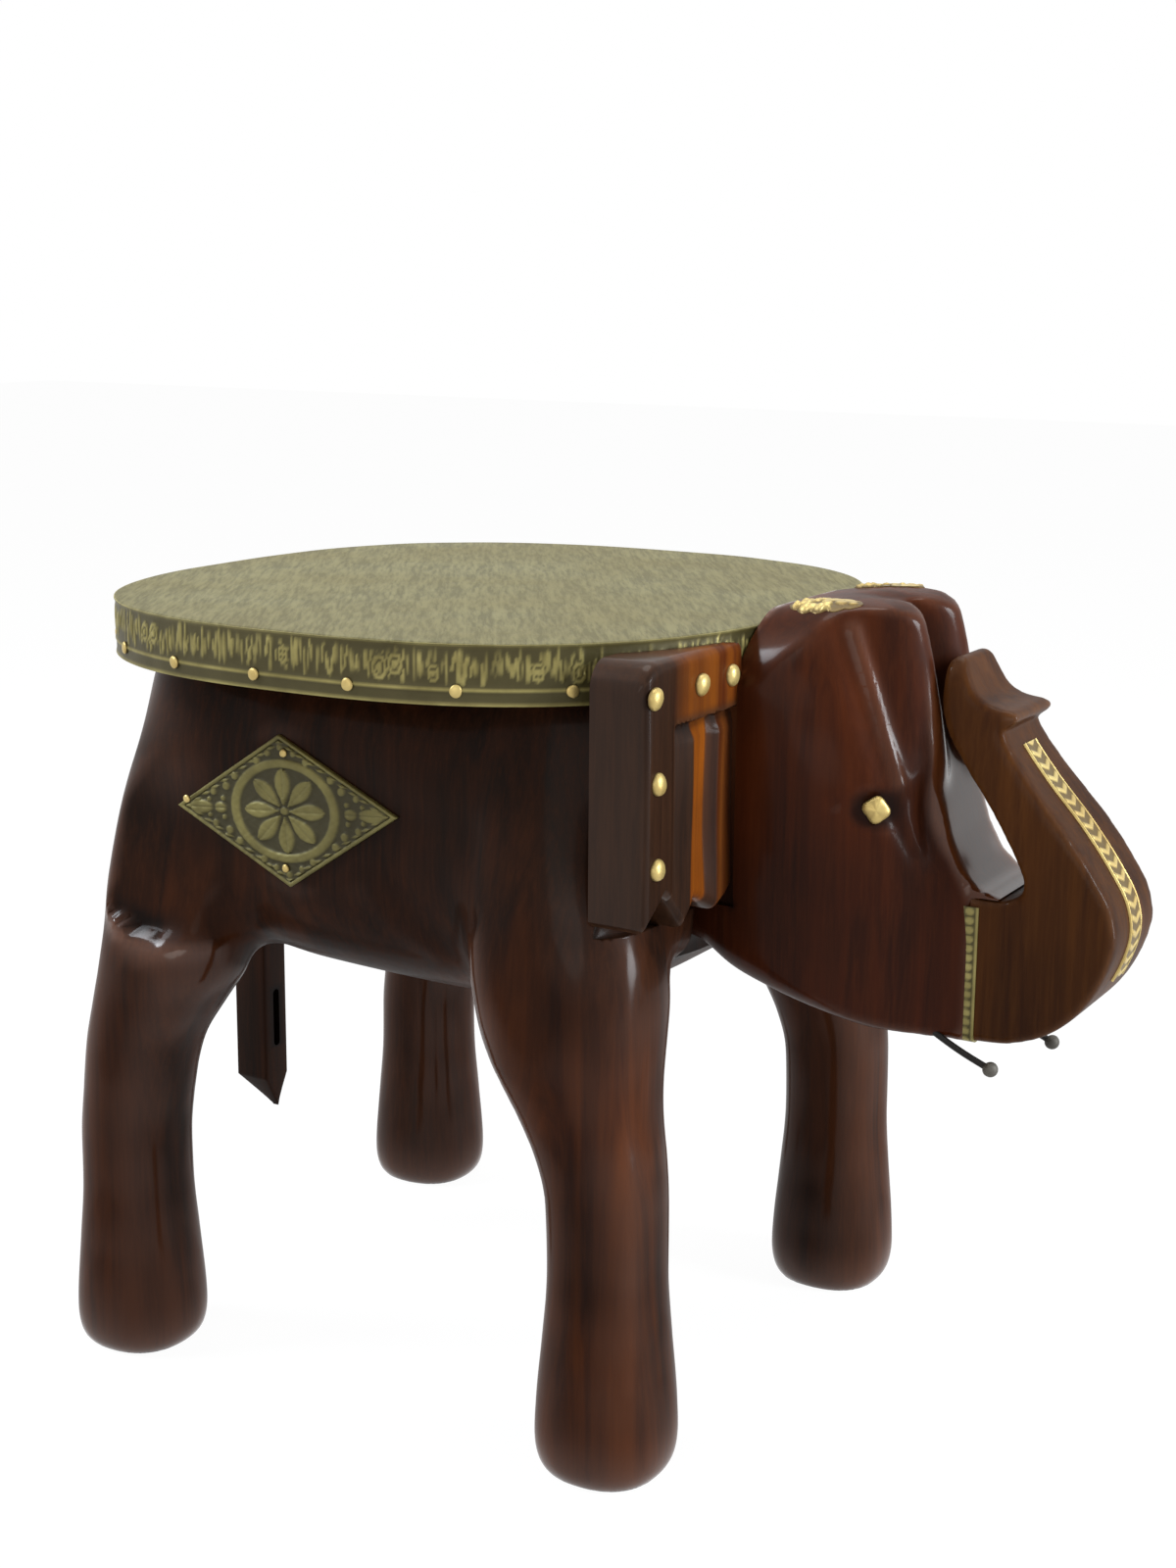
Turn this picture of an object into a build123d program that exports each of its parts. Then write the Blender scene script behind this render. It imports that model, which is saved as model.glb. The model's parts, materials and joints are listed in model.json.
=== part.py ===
"""Carved elephant stool: a round seat clad in embossed brass on an elephant of carved hardwood.

The elephant faces +X, +Z is up, and the X-Z plane is its plane of symmetry. The floor is at Z = 0,
and the origin is below the middle of the stool's bounding box. All sizes are millimetres.
"""
from build123d import *
from math import asin, copysign, cos, pi, sin
import os

os.makedirs("parts", exist_ok=True)

# Seat
seat_height = 305.0           # floor to the top of the brass
seat_length = 273.0           # along X, over the brass
seat_width = 285.0            # along Y, over the brass
seat_thickness = 21.0         # board and top sheet together
seat_squareness = 2.55        # exponent of the seat's oval: 2 is an ellipse
brass_sheet = 0.8             # thickness of every brass sheet
band_lip = 3.0                # width of the strip that the edge band turns under the board
seat_clearance = 0.4          # between the edge band and the head and ears
band_pin_diameter = 4.6
band_pin_pitch = 39.0         # along the edge of the seat
band_pin_rise = 4.5           # centre of the pins above the underside of the board

# Places along X, measured from the middle of the seat
rump_reach = 116.5            # back to the flat rump face
neck_reach = 112.5            # forward to the flat neck face
front_leg_reach = 110.4
rear_leg_reach = 106.3

# Torso
torso_width = 214.0
rump_width = 126.0
neck_width = 194.0
belly_height = 155.5          # floor to the lowest point of the belly
rump_underside = 204.0
neck_underside = 181.0
torso_squareness = 3.3
torso_crown = 20.0            # how far the torso's rounded section would rise past its flat top

# Legs
leg_joint_height = 152.0      # floor to the flat joint under the torso
front_leg_spread = 196.6      # centre to centre across the stool
rear_leg_spread = 207.8
foot_radius = 25.6
ankle_radius = 20.6
foot_round = 4.6
leg_squareness = 2.3
front_leg_top = (30.4, 27.0)  # half length and half width at the joint
rear_leg_top = (27.5, 25.6)
front_leg_sweep = (-13.6, 1.2)   # how far the joint lies forward of the foot, and inwards of it
rear_leg_sweep = (15.4, 4.4)
tenon_size = 28.0             # side of the square tenons
tenon_length = 42.0
tenon_clearance = 0.15
mortise_relief = 2.0          # room left beyond the end of each tenon

# Ears
ear_thickness = 22.0          # along X
ear_width = 68.0              # from the head's side outwards
ear_bottom = 209.0
ear_drop = 4.0                # top of the ears below the top of the seat
ear_corner = 9.0
ear_rim = 21.0                # plain border along the outer edge
ear_brow = 22.0               # plain border along the top
pleat_depth = 3.5
pleat_count = 3
tip_drop = 5.0                # how far the middle tip hangs below the ear's bottom edge
tip_notch = 10.0

# Head
head_length = 101.0           # neck face to the trunk joint
head_width = 106.0
head_seat_width = 100.0       # between the flats that the ears stand on
head_squareness = 3.4
crown_rise = 9.0              # top of the head above the top of the seat
throat_height = 184.0
jaw_height = 159.0
trunk_root_height = 266.0     # where the ridge of the trunk leaves the forehead
ridge_width = 38.0            # of the trunk's ridge below the forehead

# Trunk
trunk_thickness = 46.0        # across the stool at the bend
trunk_tip_thickness = 31.0
trunk_depth = 53.0            # height of the trunk at its joint with the head
trunk_underside = 159.0
trunk_reach = 52.5            # joint to the foremost point
trunk_top = 297.0
trunk_lap = 11.0              # how far the ridge of the head laps over the trunk
joint_band_width = 6.5
joint_band_gap = 3.0          # how far the band's two arms stop below the top of the joint
strip_width = 12.0
strip_span = (0.36, 0.97)     # where the strip starts and ends, as shares of the trunk's front curve

# Tail
tail_thickness = 17.0
tail_width = 15.0
tail_tip_height = 63.0
tail_top_height = 245.0
tail_point = 14.0
tail_slot_width = 4.0
tail_slot_length = 24.0
tail_slot_depth = 5.0
tail_slot_height = 104.0

# Loose tenons and nails
neck_tenon = (64.0, 60.0, 16.0)     # length across the joint, width, thickness
neck_tenon_drops = (28.0, 68.0)     # below the underside of the seat board
ear_tenon = (36.0, 8.0, 30.0)
ear_tenon_drop = 38.0
trunk_tenon = (52.0, 18.0, 26.0)
seat_nail_shank = 4.5
seat_nail_head = (9.0, 2.0)   # side and thickness of the square head
seat_nail_length = 55.0
seat_nail_spread = (120.0, 110.0)
tail_nail_levels = (216.0, 234.0)
tail_nail_length = 38.0
tail_nail_shank = 2.2
tail_nail_head = 4.5
nail_shank = 1.4
nail_length = 9.0
nail_head = 3.2
nail_dome = 0.9
stud_diameter = 8.0
stud_height = 2.6
stud_drop = 11.5              # top row below the ear's top
stud_row = (63.0, 30.0)       # from the flat on the head's side, with one more close beside the head
stud_column = 60.0
stud_pitch = 29.5
eye_diameter = 9.5
eye_reach = 72.0              # forward of the neck face
eye_height = 244.0
eye_turn = 0.35               # how far the eyes look forward, as a share of how far they look out
eye_recess = (25.0, 14.0)     # length and height of the almond cut round each eye
eye_recess_depth = 1.4
tusk_wire = 2.4
tusk_ball = 5.6
tusk_length = 36.0            # outside the head
tusk_grip = 14.0              # inside the head
tusk_dip = {-1: 14.0, 1: 28.0}   # degrees below level on the right and on the left
tusk_splay = 14.5             # degrees outwards
tusk_reach = 86.0             # forward of the neck face
tusk_spread = 50.0
tusk_height = 163.5

# Plaques and ornaments
plaque_length = 103.0
plaque_height = 58.0
plaque_tilt = 4.3             # degrees, front corner up
plaque_reach = -26.0          # centre, from the middle of the seat
plaque_level = 230.0
plaque_inset = 1.6            # how far the flat behind it is cut into the flank
plaque_ring = (40.0, 33.0)    # outer and inner diameter of the raised ring
plaque_relief = 0.8
ornament_length = 28.0
ornament_width = 16.0
ornament_thickness = 1.2
ornament_spread = 56.0
ornament_reach = 44.0         # centre, forward of the neck face
ornament_drop = 3.5           # flat that it lies on, below the crown

# Worked out from the sizes above
front_reach = neck_reach + head_length + trunk_reach
seat_x = (seat_length / 2 - front_reach) / 2
rump_x = seat_x - rump_reach
neck_x = seat_x + neck_reach
joint_x = neck_x + head_length
board_bottom = seat_height - seat_thickness
board_top = seat_height - brass_sheet
ear_top = seat_height - ear_drop
crown_height = seat_height + crown_rise
ornament_level = crown_height - ornament_drop
neck_tenon_levels = [board_bottom - drop for drop in neck_tenon_drops]
ear_tenon_level = board_bottom - ear_tenon_drop
ear_seat_y = head_seat_width / 2
ear_front_x = neck_x + ear_thickness
trunk_top_level = trunk_underside + trunk_depth
rebate_floor = board_bottom - brass_sheet - seat_clearance

side_name = {-1: "right", 1: "left"}
leg_corners = [("front", -1), ("front", 1), ("rear", -1), ("rear", 1)]


def superellipse(half_length, half_width, power, count=12):
    """A closed oval face in the X-Y plane, as one smooth curve."""
    points = []
    for i in range(count):
        c, s = cos(2 * pi * i / count), sin(2 * pi * i / count)
        x = half_length * copysign(abs(c) ** (2 / power), c)
        points.append((x, half_width * copysign(abs(s) ** (2 / power), s)))
    with BuildSketch() as oval:
        with BuildLine():
            Spline(points, periodic=True)
        make_face()
    return oval.sketch


def seat_oval(inset):
    """The seat's outline, held in by an inset all round."""
    return superellipse(seat_length / 2 - inset, seat_width / 2 - inset, seat_squareness, 24)


def seat_edge_x(y):
    """How far forward the seat's edge lies at a distance from the middle plane."""
    share = min(abs(y) / (seat_width / 2), 1)
    return seat_x + seat_length / 2 * (1 - share ** seat_squareness) ** (1 / seat_squareness)


def across_plane(x, z=0.0):
    """A plane that faces forward, with its x along the stool's Y."""
    return Plane((x, 0, z), x_dir=(0, 1, 0), z_dir=(1, 0, 0))


def side_plane(x, y, z, side):
    """A plane that faces out to one side, with its x along the stool's X and its y up or down."""
    return Plane((x, y, z), x_dir=(1, 0, 0), z_dir=(0, side, 0))


def domed_nail(head, dome, shank, length):
    """A round-headed nail: the head's flat back lies on the X-Y plane, the square shank points down."""
    ball = (head ** 2 / 4 + dome ** 2) / (2 * dome)
    lean = asin(head / 2 / ball) / 2
    with BuildPart() as nail:
        with BuildSketch(Plane.XZ):
            with BuildLine():
                ThreePointArc((head / 2, 0), (ball * sin(lean), dome - ball * (1 - cos(lean))), (0, dome))
                Polyline((0, dome), (0, 0), (head / 2, 0))
            make_face()
        revolve(axis=Axis.Z)
        Box(shank, shank, length, align=(Align.CENTER, Align.CENTER, Align.MAX))
    return nail.part


def nail_holes(spots, shank, depth):
    """Cuts a square hole down from each spot into the piece being built."""
    with Locations(*spots):
        Box(shank, shank, depth, align=(Align.CENTER, Align.CENTER, Align.MAX), mode=Mode.SUBTRACT)


def save(node, name):
    """Labels a finished piece and writes its file."""
    node.part.label = name
    export_step(node.part, f"parts/{name}.step")


# ---- Where the nails go
seat_nail_spots = [Pos(seat_x + x * seat_nail_spread[0] / 2, y * seat_nail_spread[1] / 2, board_top)
                   for x in (-1, 1) for y in (-1, 1)]
tail_nail_spots = [Plane((rump_x - tail_thickness, 0, level), x_dir=(0, -1, 0), z_dir=(-1, 0, 0)).location
                   for level in tail_nail_levels]

rim = seat_oval(0).wires()[0].moved(Location((seat_x, 0, board_bottom + band_pin_rise)))
pin_count = int(rim.length // band_pin_pitch)
band_pin_spots = []
for i in range(pin_count):
    spot = rim.position_at(i / pin_count)
    outwards = rim.tangent_at(i / pin_count).cross(Vector(0, 0, 1))
    if outwards.dot(spot - Vector(seat_x, 0, spot.Z)) < 0:
        outwards = -outwards
    clear_of_ears = spot.X < neck_x - seat_clearance - band_pin_diameter
    if clear_of_ears:
        band_pin_spots.append(Plane(spot, x_dir=(0, 0, 1), z_dir=outwards).location)

stud_level = ear_top - stud_drop
inner_stud = head_width / 2 - ear_seat_y + stud_diameter / 2 + seat_clearance
stud_places = [(out, stud_level) for out in (*stud_row, inner_stud)]
stud_places += [(stud_column, stud_level - n * stud_pitch) for n in (1, 2)]


def stud_spot(side, out, level):
    """Where the back of an ear stud's head lies, and the length of its shank in front of the seat."""
    y = side * (ear_seat_y + out)
    room = ear_front_x - seat_edge_x(y) - 2 * seat_clearance if level > rebate_floor else nail_length
    return across_plane(ear_front_x, level).location * Pos(y, 0, 0), min(nail_length, room)


plaque_outline = ((-plaque_length / 2, 0), (0, -plaque_height / 2), (plaque_length / 2, 0), (0, plaque_height / 2))
plaque_nail_shares = ((-0.86, 0), (0.86, 0), (0, -0.76), (0, 0.76))
plaque_planes = {side: side_plane(seat_x + plaque_reach, side * (torso_width / 2 - plaque_inset), plaque_level,
                                  side).rotated((0, 0, -side * plaque_tilt)) for side in (-1, 1)}
plaque_nail_spots = {
    side: [plaque_planes[side].location * Pos(x * plaque_length / 2, z * plaque_height / 2, brass_sheet)
           for x, z in plaque_nail_shares] for side in (-1, 1)}

tusk_planes = {}
for side in (-1, 1):
    pointing = Vector(1, 0, 0).rotate(Axis.Y, tusk_dip[side]).rotate(Axis.Z, side * tusk_splay)
    tusk_planes[side] = Plane((neck_x + tusk_reach, side * tusk_spread / 2, tusk_height), z_dir=pointing)

# ---- Torso
# Stations: distance from the middle of the seat, width and underside.
torso_stations = [
    (-rump_reach, rump_width, rump_underside),
    (-rump_reach + 7, rump_width + 0.45 * (torso_width - rump_width), rump_underside - 12),
    (-rump_reach + 22, rump_width + 0.8 * (torso_width - rump_width), rump_underside - 26),
    (-rump_reach + 48, torso_width - 4, belly_height + 7),
    (-30, torso_width, belly_height + 1),
    (30, torso_width, belly_height),
    (neck_reach - 38, torso_width - 2, belly_height + 3),
    (neck_reach, neck_width, neck_underside),
]

# Haunches and shoulders: rise above the leg joint, shift forward and outwards, growth of the section.
haunch_stations = [(0, 0, 0, 0, 0), (24, 4.5, -5, 3, 3), (46, 6, -9.5, 4.2, 4.4), (82, 9.5, -18, 4.6, 4.6),
                   (132, 17, -29, 3.4, 3.2)]
shoulder_stations = [(0, 0, 0, 0, 0), (24, -4.5, -3.2, 4.4, 2.2), (46, -7.4, -5.3, 5.4, 3),
                     (86, -15.2, -13.3, 4.6, 2.2), (132, -22.2, -23.7, 1.6, 0.4)]

foot_reach = {"front": front_leg_reach, "rear": -rear_leg_reach}
foot_spread = {"front": front_leg_spread / 2, "rear": rear_leg_spread / 2}
leg_sweep = {"front": front_leg_sweep, "rear": rear_leg_sweep}
leg_half = {"front": front_leg_top, "rear": rear_leg_top}


def leg_centre(end, side, share):
    """Middle of a leg, from its foot (share 0) to its joint with the torso (share 1)."""
    x = seat_x + foot_reach[end] + share * leg_sweep[end][0]
    return x, side * (foot_spread[end] - share * leg_sweep[end][1])


with BuildPart() as torso:
    for reach, width, underside in torso_stations:
        section_top = board_bottom + torso_crown
        with BuildSketch(across_plane(seat_x + reach, (section_top + underside) / 2)):
            add(superellipse(width / 2, (section_top - underside) / 2, torso_squareness))
    loft()
    for end, side in leg_corners:
        x, y = leg_centre(end, side, 1)
        half_length, half_width = leg_half[end]
        for rise, forward, outward, longer, wider in haunch_stations if end == "rear" else shoulder_stations:
            with BuildSketch(Plane((x + forward, y + side * outward, leg_joint_height + rise))):
                add(superellipse(half_length + longer, half_width + wider, leg_squareness))
        loft()
    # Flat top under the board
    split(bisect_by=Plane.XY.offset(board_bottom), keep=Keep.BOTTOM)
    # Flat neck face above the shoulders, where the head and ears stand
    with BuildSketch(Plane((neck_x, 0, ear_bottom - tip_drop), x_dir=(1, 0, 0), z_dir=(0, -1, 0))):
        Rectangle(ear_thickness * 3, seat_height, align=(Align.MIN, Align.MIN))
    extrude(amount=seat_width, both=True, mode=Mode.SUBTRACT)
    # Square mortises for the legs
    for end, side in leg_corners:
        with BuildSketch(Plane((*leg_centre(end, side, 1), leg_joint_height))):
            Rectangle(tenon_size + 2 * tenon_clearance, tenon_size + 2 * tenon_clearance)
        extrude(amount=tenon_length + mortise_relief, mode=Mode.SUBTRACT)
    # Slots for the neck tenons
    for level in neck_tenon_levels:
        with BuildSketch(across_plane(neck_x, level)):
            Rectangle(neck_tenon[1], neck_tenon[2])
        extrude(amount=-neck_tenon[0] / 2, mode=Mode.SUBTRACT)
    # Flats let into the flanks behind the plaques, with the nails' holes
    for side in (-1, 1):
        with BuildSketch(plaque_planes[side]):
            Polygon(*plaque_outline, align=None)
        extrude(amount=torso_width / 8, mode=Mode.SUBTRACT)
        nail_holes(plaque_nail_spots[side], nail_shank, nail_length)
    nail_holes(seat_nail_spots, seat_nail_shank, seat_nail_length)
    nail_holes(tail_nail_spots, tail_nail_shank, tail_nail_length)
save(torso, "torso")

# ---- Legs
# Stations: share of the height, share of the sweep, and size between foot, ankle and joint.
leg_stations = [
    (0.0, 0.0, foot_radius - foot_round, 0.0),
    (0.03, 0.0, foot_radius - foot_round * 0.25, 0.0),
    (0.1, 0.0, foot_radius, 0.0),
    (0.3, 0.0, ankle_radius + 0.35 * (foot_radius - ankle_radius), 0.0),
    (0.5, 0.0, ankle_radius, 0.0),
    (0.7, 0.08, ankle_radius, 0.05),
    (0.84, 0.38, ankle_radius, 0.3),
    (1.0, 1.0, ankle_radius, 1.0),
]
for end, side in leg_corners:
    half_length, half_width = leg_half[end]
    with BuildPart() as leg:
        for height_share, sweep_share, radius, top_share in leg_stations:
            x, y = leg_centre(end, side, sweep_share)
            with BuildSketch(Plane((x, y, height_share * leg_joint_height))):
                add(superellipse(radius + top_share * (half_length - ankle_radius),
                                 radius + top_share * (half_width - ankle_radius), leg_squareness))
        loft()
        with BuildSketch(Plane((*leg_centre(end, side, 1), leg_joint_height))):
            Rectangle(tenon_size, tenon_size)
        extrude(amount=tenon_length)
    save(leg, f"leg_{end}_{side_name[side]}")

# ---- Head
# Stations: share of the length, width, underside and top.
neck_top = crown_height - 7
head_stations = [
    (0.0, head_width - 2, throat_height, neck_top),
    (0.19, head_width, throat_height - 9, crown_height - 3),
    (0.5, head_width - 5, jaw_height + 6.5, crown_height),
    (0.67, head_width - 16, jaw_height + 2.5, crown_height - 7),
    (0.8, head_width - 32, jaw_height, crown_height - 26),
    (0.9, head_width - 46, jaw_height, crown_height - 60),
    (0.965, trunk_thickness + 3, jaw_height, crown_height - 80),
]
eye_share = (eye_reach / head_length - head_stations[3][0]) / (head_stations[4][0] - head_stations[3][0])
eye_y = (head_stations[3][1] + eye_share * (head_stations[4][1] - head_stations[3][1])) / 2
eye_planes = {side: Plane((neck_x + eye_reach, side * eye_y, eye_height), x_dir=(1, -side * eye_turn, 0),
                          z_dir=(eye_turn, side, 0)).offset(-eye_recess_depth) for side in (-1, 1)}
with BuildPart() as head:
    for share, width, underside, top in head_stations:
        with BuildSketch(across_plane(neck_x + share * head_length, (top + underside) / 2)):
            add(superellipse(width / 2, (top - underside) / 2, head_squareness))
    loft()
    # Neck of the trunk, under the joint band
    with BuildSketch(across_plane(joint_x, trunk_underside + trunk_depth / 2)):
        Rectangle(trunk_thickness, trunk_depth)
    extrude(amount=-head_length * 0.2)
    # Ridge of the trunk below the forehead, lapping over the trunk
    with BuildSketch(Plane.XZ):
        with BuildLine():
            ridge_fall = trunk_root_height - trunk_top_level
            ridge = Spline((joint_x - 22, trunk_root_height), (joint_x - 11, trunk_root_height - 0.37 * ridge_fall),
                           (joint_x, trunk_root_height - 0.71 * ridge_fall), (joint_x + trunk_lap, trunk_top_level))
            Polyline(ridge @ 1, (joint_x - 22, trunk_top_level), ridge @ 0)
        make_face()
    extrude(amount=ridge_width / 2, both=True)
    # Rebate that takes the seat
    with BuildSketch(Plane((seat_x, 0, rebate_floor))):
        add(seat_oval(-seat_clearance))
    extrude(amount=seat_height, mode=Mode.SUBTRACT)
    # Flats that the ears stand on
    with BuildSketch(across_plane(neck_x)):
        for side in (-1, 1):
            with Locations((side * (ear_seat_y + ear_width / 2), (ear_bottom - tip_drop + crown_height + 9) / 2)):
                Rectangle(ear_width, crown_height + 9 - ear_bottom + tip_drop)
    extrude(amount=ear_thickness, mode=Mode.SUBTRACT)
    # Slots for the neck tenons
    for level in neck_tenon_levels:
        with BuildSketch(across_plane(neck_x, level)):
            Rectangle(neck_tenon[1], neck_tenon[2])
        extrude(amount=neck_tenon[0] / 2, mode=Mode.SUBTRACT)
    # Slot for the trunk tenon
    with BuildSketch(across_plane(joint_x, trunk_underside + trunk_depth / 2)):
        Rectangle(trunk_tenon[1], trunk_tenon[2])
    extrude(amount=-trunk_tenon[0] / 2, mode=Mode.SUBTRACT)
    # Slots for the ear tenons
    for side in (-1, 1):
        with BuildSketch(side_plane(neck_x + ear_thickness / 2, side * ear_seat_y, ear_tenon_level, side)):
            Rectangle(ear_tenon[1], ear_tenon[2])
        extrude(amount=-ear_tenon[0] / 2, mode=Mode.SUBTRACT)
    # Flats under the crown ornaments
    with BuildSketch(Plane((neck_x + ornament_reach, 0, ornament_level))):
        with GridLocations(0, ornament_spread, 1, 2):
            Rectangle(ornament_length, ornament_width)
    extrude(amount=crown_height - ornament_level + 1, mode=Mode.SUBTRACT)
    # Flat-bottomed almonds round the eyes, and the nails' holes
    for side in (-1, 1):
        with BuildSketch(eye_planes[side]):
            with BuildLine():
                lower = ThreePointArc((-eye_recess[0] / 2, 0), (0, -eye_recess[1] / 2), (eye_recess[0] / 2, 0))
                ThreePointArc(lower @ 1, (0, eye_recess[1] / 2), lower @ 0)
            make_face()
        extrude(amount=eye_recess[1], mode=Mode.SUBTRACT)
        nail_holes([eye_planes[side].location], nail_shank, nail_length)
        nail_holes([tusk_planes[side].location * Pos(0, 0, tusk_grip / 2)], tusk_wire, tusk_grip * 1.5)
save(head, "head")

# ---- Ears
pleat_pitch = (ear_width - ear_rim) / pleat_count
for side in (-1, 1):
    front_edge = [(ear_thickness, ear_width), (ear_thickness, ear_width - ear_rim)]
    for i in range(pleat_count):
        start = ear_width - ear_rim - i * pleat_pitch
        front_edge += [(ear_thickness - pleat_depth, start), (ear_thickness - 0.2, start - 0.6 * pleat_pitch)]
    front_edge += [(ear_thickness - pleat_depth, 0)]
    plan = [(0, 0), (0, ear_width), *front_edge]
    with BuildPart() as ear:
        with BuildSketch(Plane((neck_x, side * ear_seat_y, ear_bottom - tip_drop))):
            Polygon(*[(x, side * y) for x, y in plan], align=None)
        extrude(amount=ear_top - ear_brow - ear_bottom + tip_drop)
        with BuildSketch(Plane((neck_x, side * ear_seat_y, ear_top - ear_brow))):
            Polygon(*[(x, side * y) for x, y in ((0, 0), (0, ear_width), (ear_thickness, ear_width),
                                                 (ear_thickness, 0))], align=None)
        extrude(amount=ear_brow)
        # Rounded top corner and pointed lower edge
        rim_notch = ear_width - 0.7 * ear_rim
        lower_edge = [(ear_width, ear_bottom + 2), (ear_width - 2, ear_bottom), (rim_notch, ear_bottom + tip_notch),
                      (rim_notch - 1.05 * pleat_pitch, ear_bottom - tip_drop),
                      (rim_notch - 1.5 * pleat_pitch, ear_bottom + tip_notch / 3),
                      (0.9 * pleat_pitch, ear_bottom - tip_drop / 2), (0, ear_bottom + 2)]
        corner = ear_top - ear_corner
        with BuildSketch(across_plane(neck_x)):
            with BuildLine():
                top_line = Line((0, ear_top), (side * (ear_seat_y + ear_width - ear_corner), ear_top))
                arc = TangentArc(top_line @ 1, (side * (ear_seat_y + ear_width), corner), tangent=top_line % 1)
                Polyline(arc @ 1, *[(side * (ear_seat_y + y), z) for y, z in lower_edge],
                         (0, ear_bottom + 2), (0, ear_top))
            make_face()
        extrude(amount=ear_thickness, mode=Mode.INTERSECT)
        # Rebate that takes the seat
        with BuildSketch(Plane((seat_x, 0, rebate_floor))):
            add(seat_oval(-seat_clearance))
        extrude(amount=seat_thickness * 2, mode=Mode.SUBTRACT)
        # Slot for the tenon into the head
        with BuildSketch(side_plane(neck_x + ear_thickness / 2, side * ear_seat_y, ear_tenon_level, side)):
            Rectangle(ear_tenon[1], ear_tenon[2])
        extrude(amount=ear_tenon[0] / 2, mode=Mode.SUBTRACT)
        for out, level in stud_places:
            spot, length = stud_spot(side, out, level)
            nail_holes([spot], nail_shank, length)
    save(ear, f"ear_{side_name[side]}")

    # Studs: a row along the top and a column down the outer rim
    with BuildPart() as studs:
        for out, level in stud_places:
            spot, length = stud_spot(side, out, level)
            stud = domed_nail(stud_diameter, stud_height, nail_shank, length)
            with Locations(spot):
                add(stud)
    save(studs, f"ear_studs_{side_name[side]}")

# ---- Trunk


def trunk_point(along, up):
    """A point of the trunk's side outline, by shares of its reach and of its height."""
    return joint_x + along * trunk_reach, trunk_underside + up * (trunk_top - trunk_underside)


with BuildSketch(Plane.XZ) as trunk_side:
    with BuildLine():
        outer = Spline(trunk_point(0, 0), trunk_point(0.29, 0.008), trunk_point(0.548, 0.045),
                       trunk_point(0.776, 0.12), trunk_point(0.932, 0.22), trunk_point(1, 0.33),
                       trunk_point(0.848, 0.465), trunk_point(0.639, 0.572), trunk_point(0.353, 0.697),
                       trunk_point(0.155, 0.805), tangents=((1, 0), (-0.5, 0.87)))
        lip = Polyline(outer @ 1, trunk_point(0.2, 0.852), trunk_point(0.09, 0.868))
        mouth = Spline(lip @ 1, trunk_point(-0.05, 0.905), trunk_point(-0.11, 0.96), trunk_point(-0.19, 1),
                       trunk_point(-0.3, 0.975), trunk_point(-0.305, 0.9), trunk_point(-0.27, 0.815),
                       trunk_point(-0.14, 0.735), trunk_point(0.09, 0.62), trunk_point(0.28, 0.505),
                       trunk_point(0.36, 0.44))
        Polyline(mouth @ 1, trunk_point(0.35, 0.41), (joint_x + trunk_lap + 1, trunk_top_level),
                 (joint_x, trunk_top_level), outer @ 0)
    make_face()

with BuildPart() as trunk:
    extrude(trunk_side.sketch, amount=trunk_thickness / 2, both=True)
    # Taper towards the tip
    with BuildSketch(across_plane(joint_x - trunk_reach)):
        Polygon((-trunk_thickness / 2, trunk_underside - 1), (trunk_thickness / 2, trunk_underside - 1),
                (trunk_thickness / 2, trunk_top_level), (trunk_tip_thickness / 2, trunk_top + 1),
                (-trunk_tip_thickness / 2, trunk_top + 1), (-trunk_thickness / 2, trunk_top_level), align=None)
    extrude(amount=3 * trunk_reach, mode=Mode.INTERSECT)
    with BuildSketch(across_plane(joint_x, trunk_underside + trunk_depth / 2)):
        Rectangle(trunk_tenon[1], trunk_tenon[2])
    extrude(amount=trunk_tenon[0] / 2, mode=Mode.SUBTRACT)
save(trunk, "trunk")

under_strip = outer.trim(*strip_span)
over_strip = []
for i in range(13):
    away = under_strip.tangent_at(i / 12).cross(Vector(0, 0, 1))
    over_strip.append(under_strip.position_at(i / 12) + away * brass_sheet)
with BuildPart() as trunk_front_strip:
    with BuildSketch(Plane.XZ):
        with BuildLine():
            add(under_strip)
            Line(under_strip @ 1, over_strip[-1])
            Spline(*over_strip)
            Line(over_strip[0], under_strip @ 0)
        make_face()
    extrude(amount=strip_width / 2, both=True)
save(trunk_front_strip, "trunk_front_strip")

with BuildPart() as trunk_joint_band:
    with BuildSketch(across_plane(joint_x - joint_band_width / 2, trunk_underside + trunk_depth / 2)):
        Rectangle(trunk_thickness + 2 * brass_sheet, trunk_depth + 2 * brass_sheet)
        Rectangle(trunk_thickness, trunk_depth, mode=Mode.SUBTRACT)
        with Locations((0, trunk_depth / 2)):
            Rectangle(trunk_thickness * 2, joint_band_gap * 2, mode=Mode.SUBTRACT)
    extrude(amount=joint_band_width)
save(trunk_joint_band, "trunk_joint_band")

# ---- Tail
with BuildPart() as tail:
    with BuildSketch(Plane((rump_x, 0, 0), x_dir=(0, -1, 0), z_dir=(-1, 0, 0))):
        Polygon((0, tail_tip_height), (tail_width / 2, tail_tip_height + tail_point), (tail_width / 2, tail_top_height),
                (-tail_width / 2, tail_top_height), (-tail_width / 2, tail_tip_height + tail_point), align=None)
    extrude(amount=tail_thickness)
    with BuildSketch(Plane.XZ):
        Polygon((rump_x, tail_tip_height), (rump_x, tail_top_height), (rump_x - tail_thickness, tail_top_height),
                (rump_x - tail_thickness, tail_tip_height + tail_point), align=None)
    extrude(amount=tail_width, both=True, mode=Mode.INTERSECT)
    with BuildSketch(Plane((rump_x, 0, tail_slot_height), x_dir=(0, -1, 0), z_dir=(-1, 0, 0))):
        SlotOverall(tail_slot_length, tail_slot_width, rotation=90)
    extrude(amount=tail_slot_depth, mode=Mode.SUBTRACT)
    nail_holes(tail_nail_spots, tail_nail_shank, tail_nail_length)
save(tail, "tail")

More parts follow.
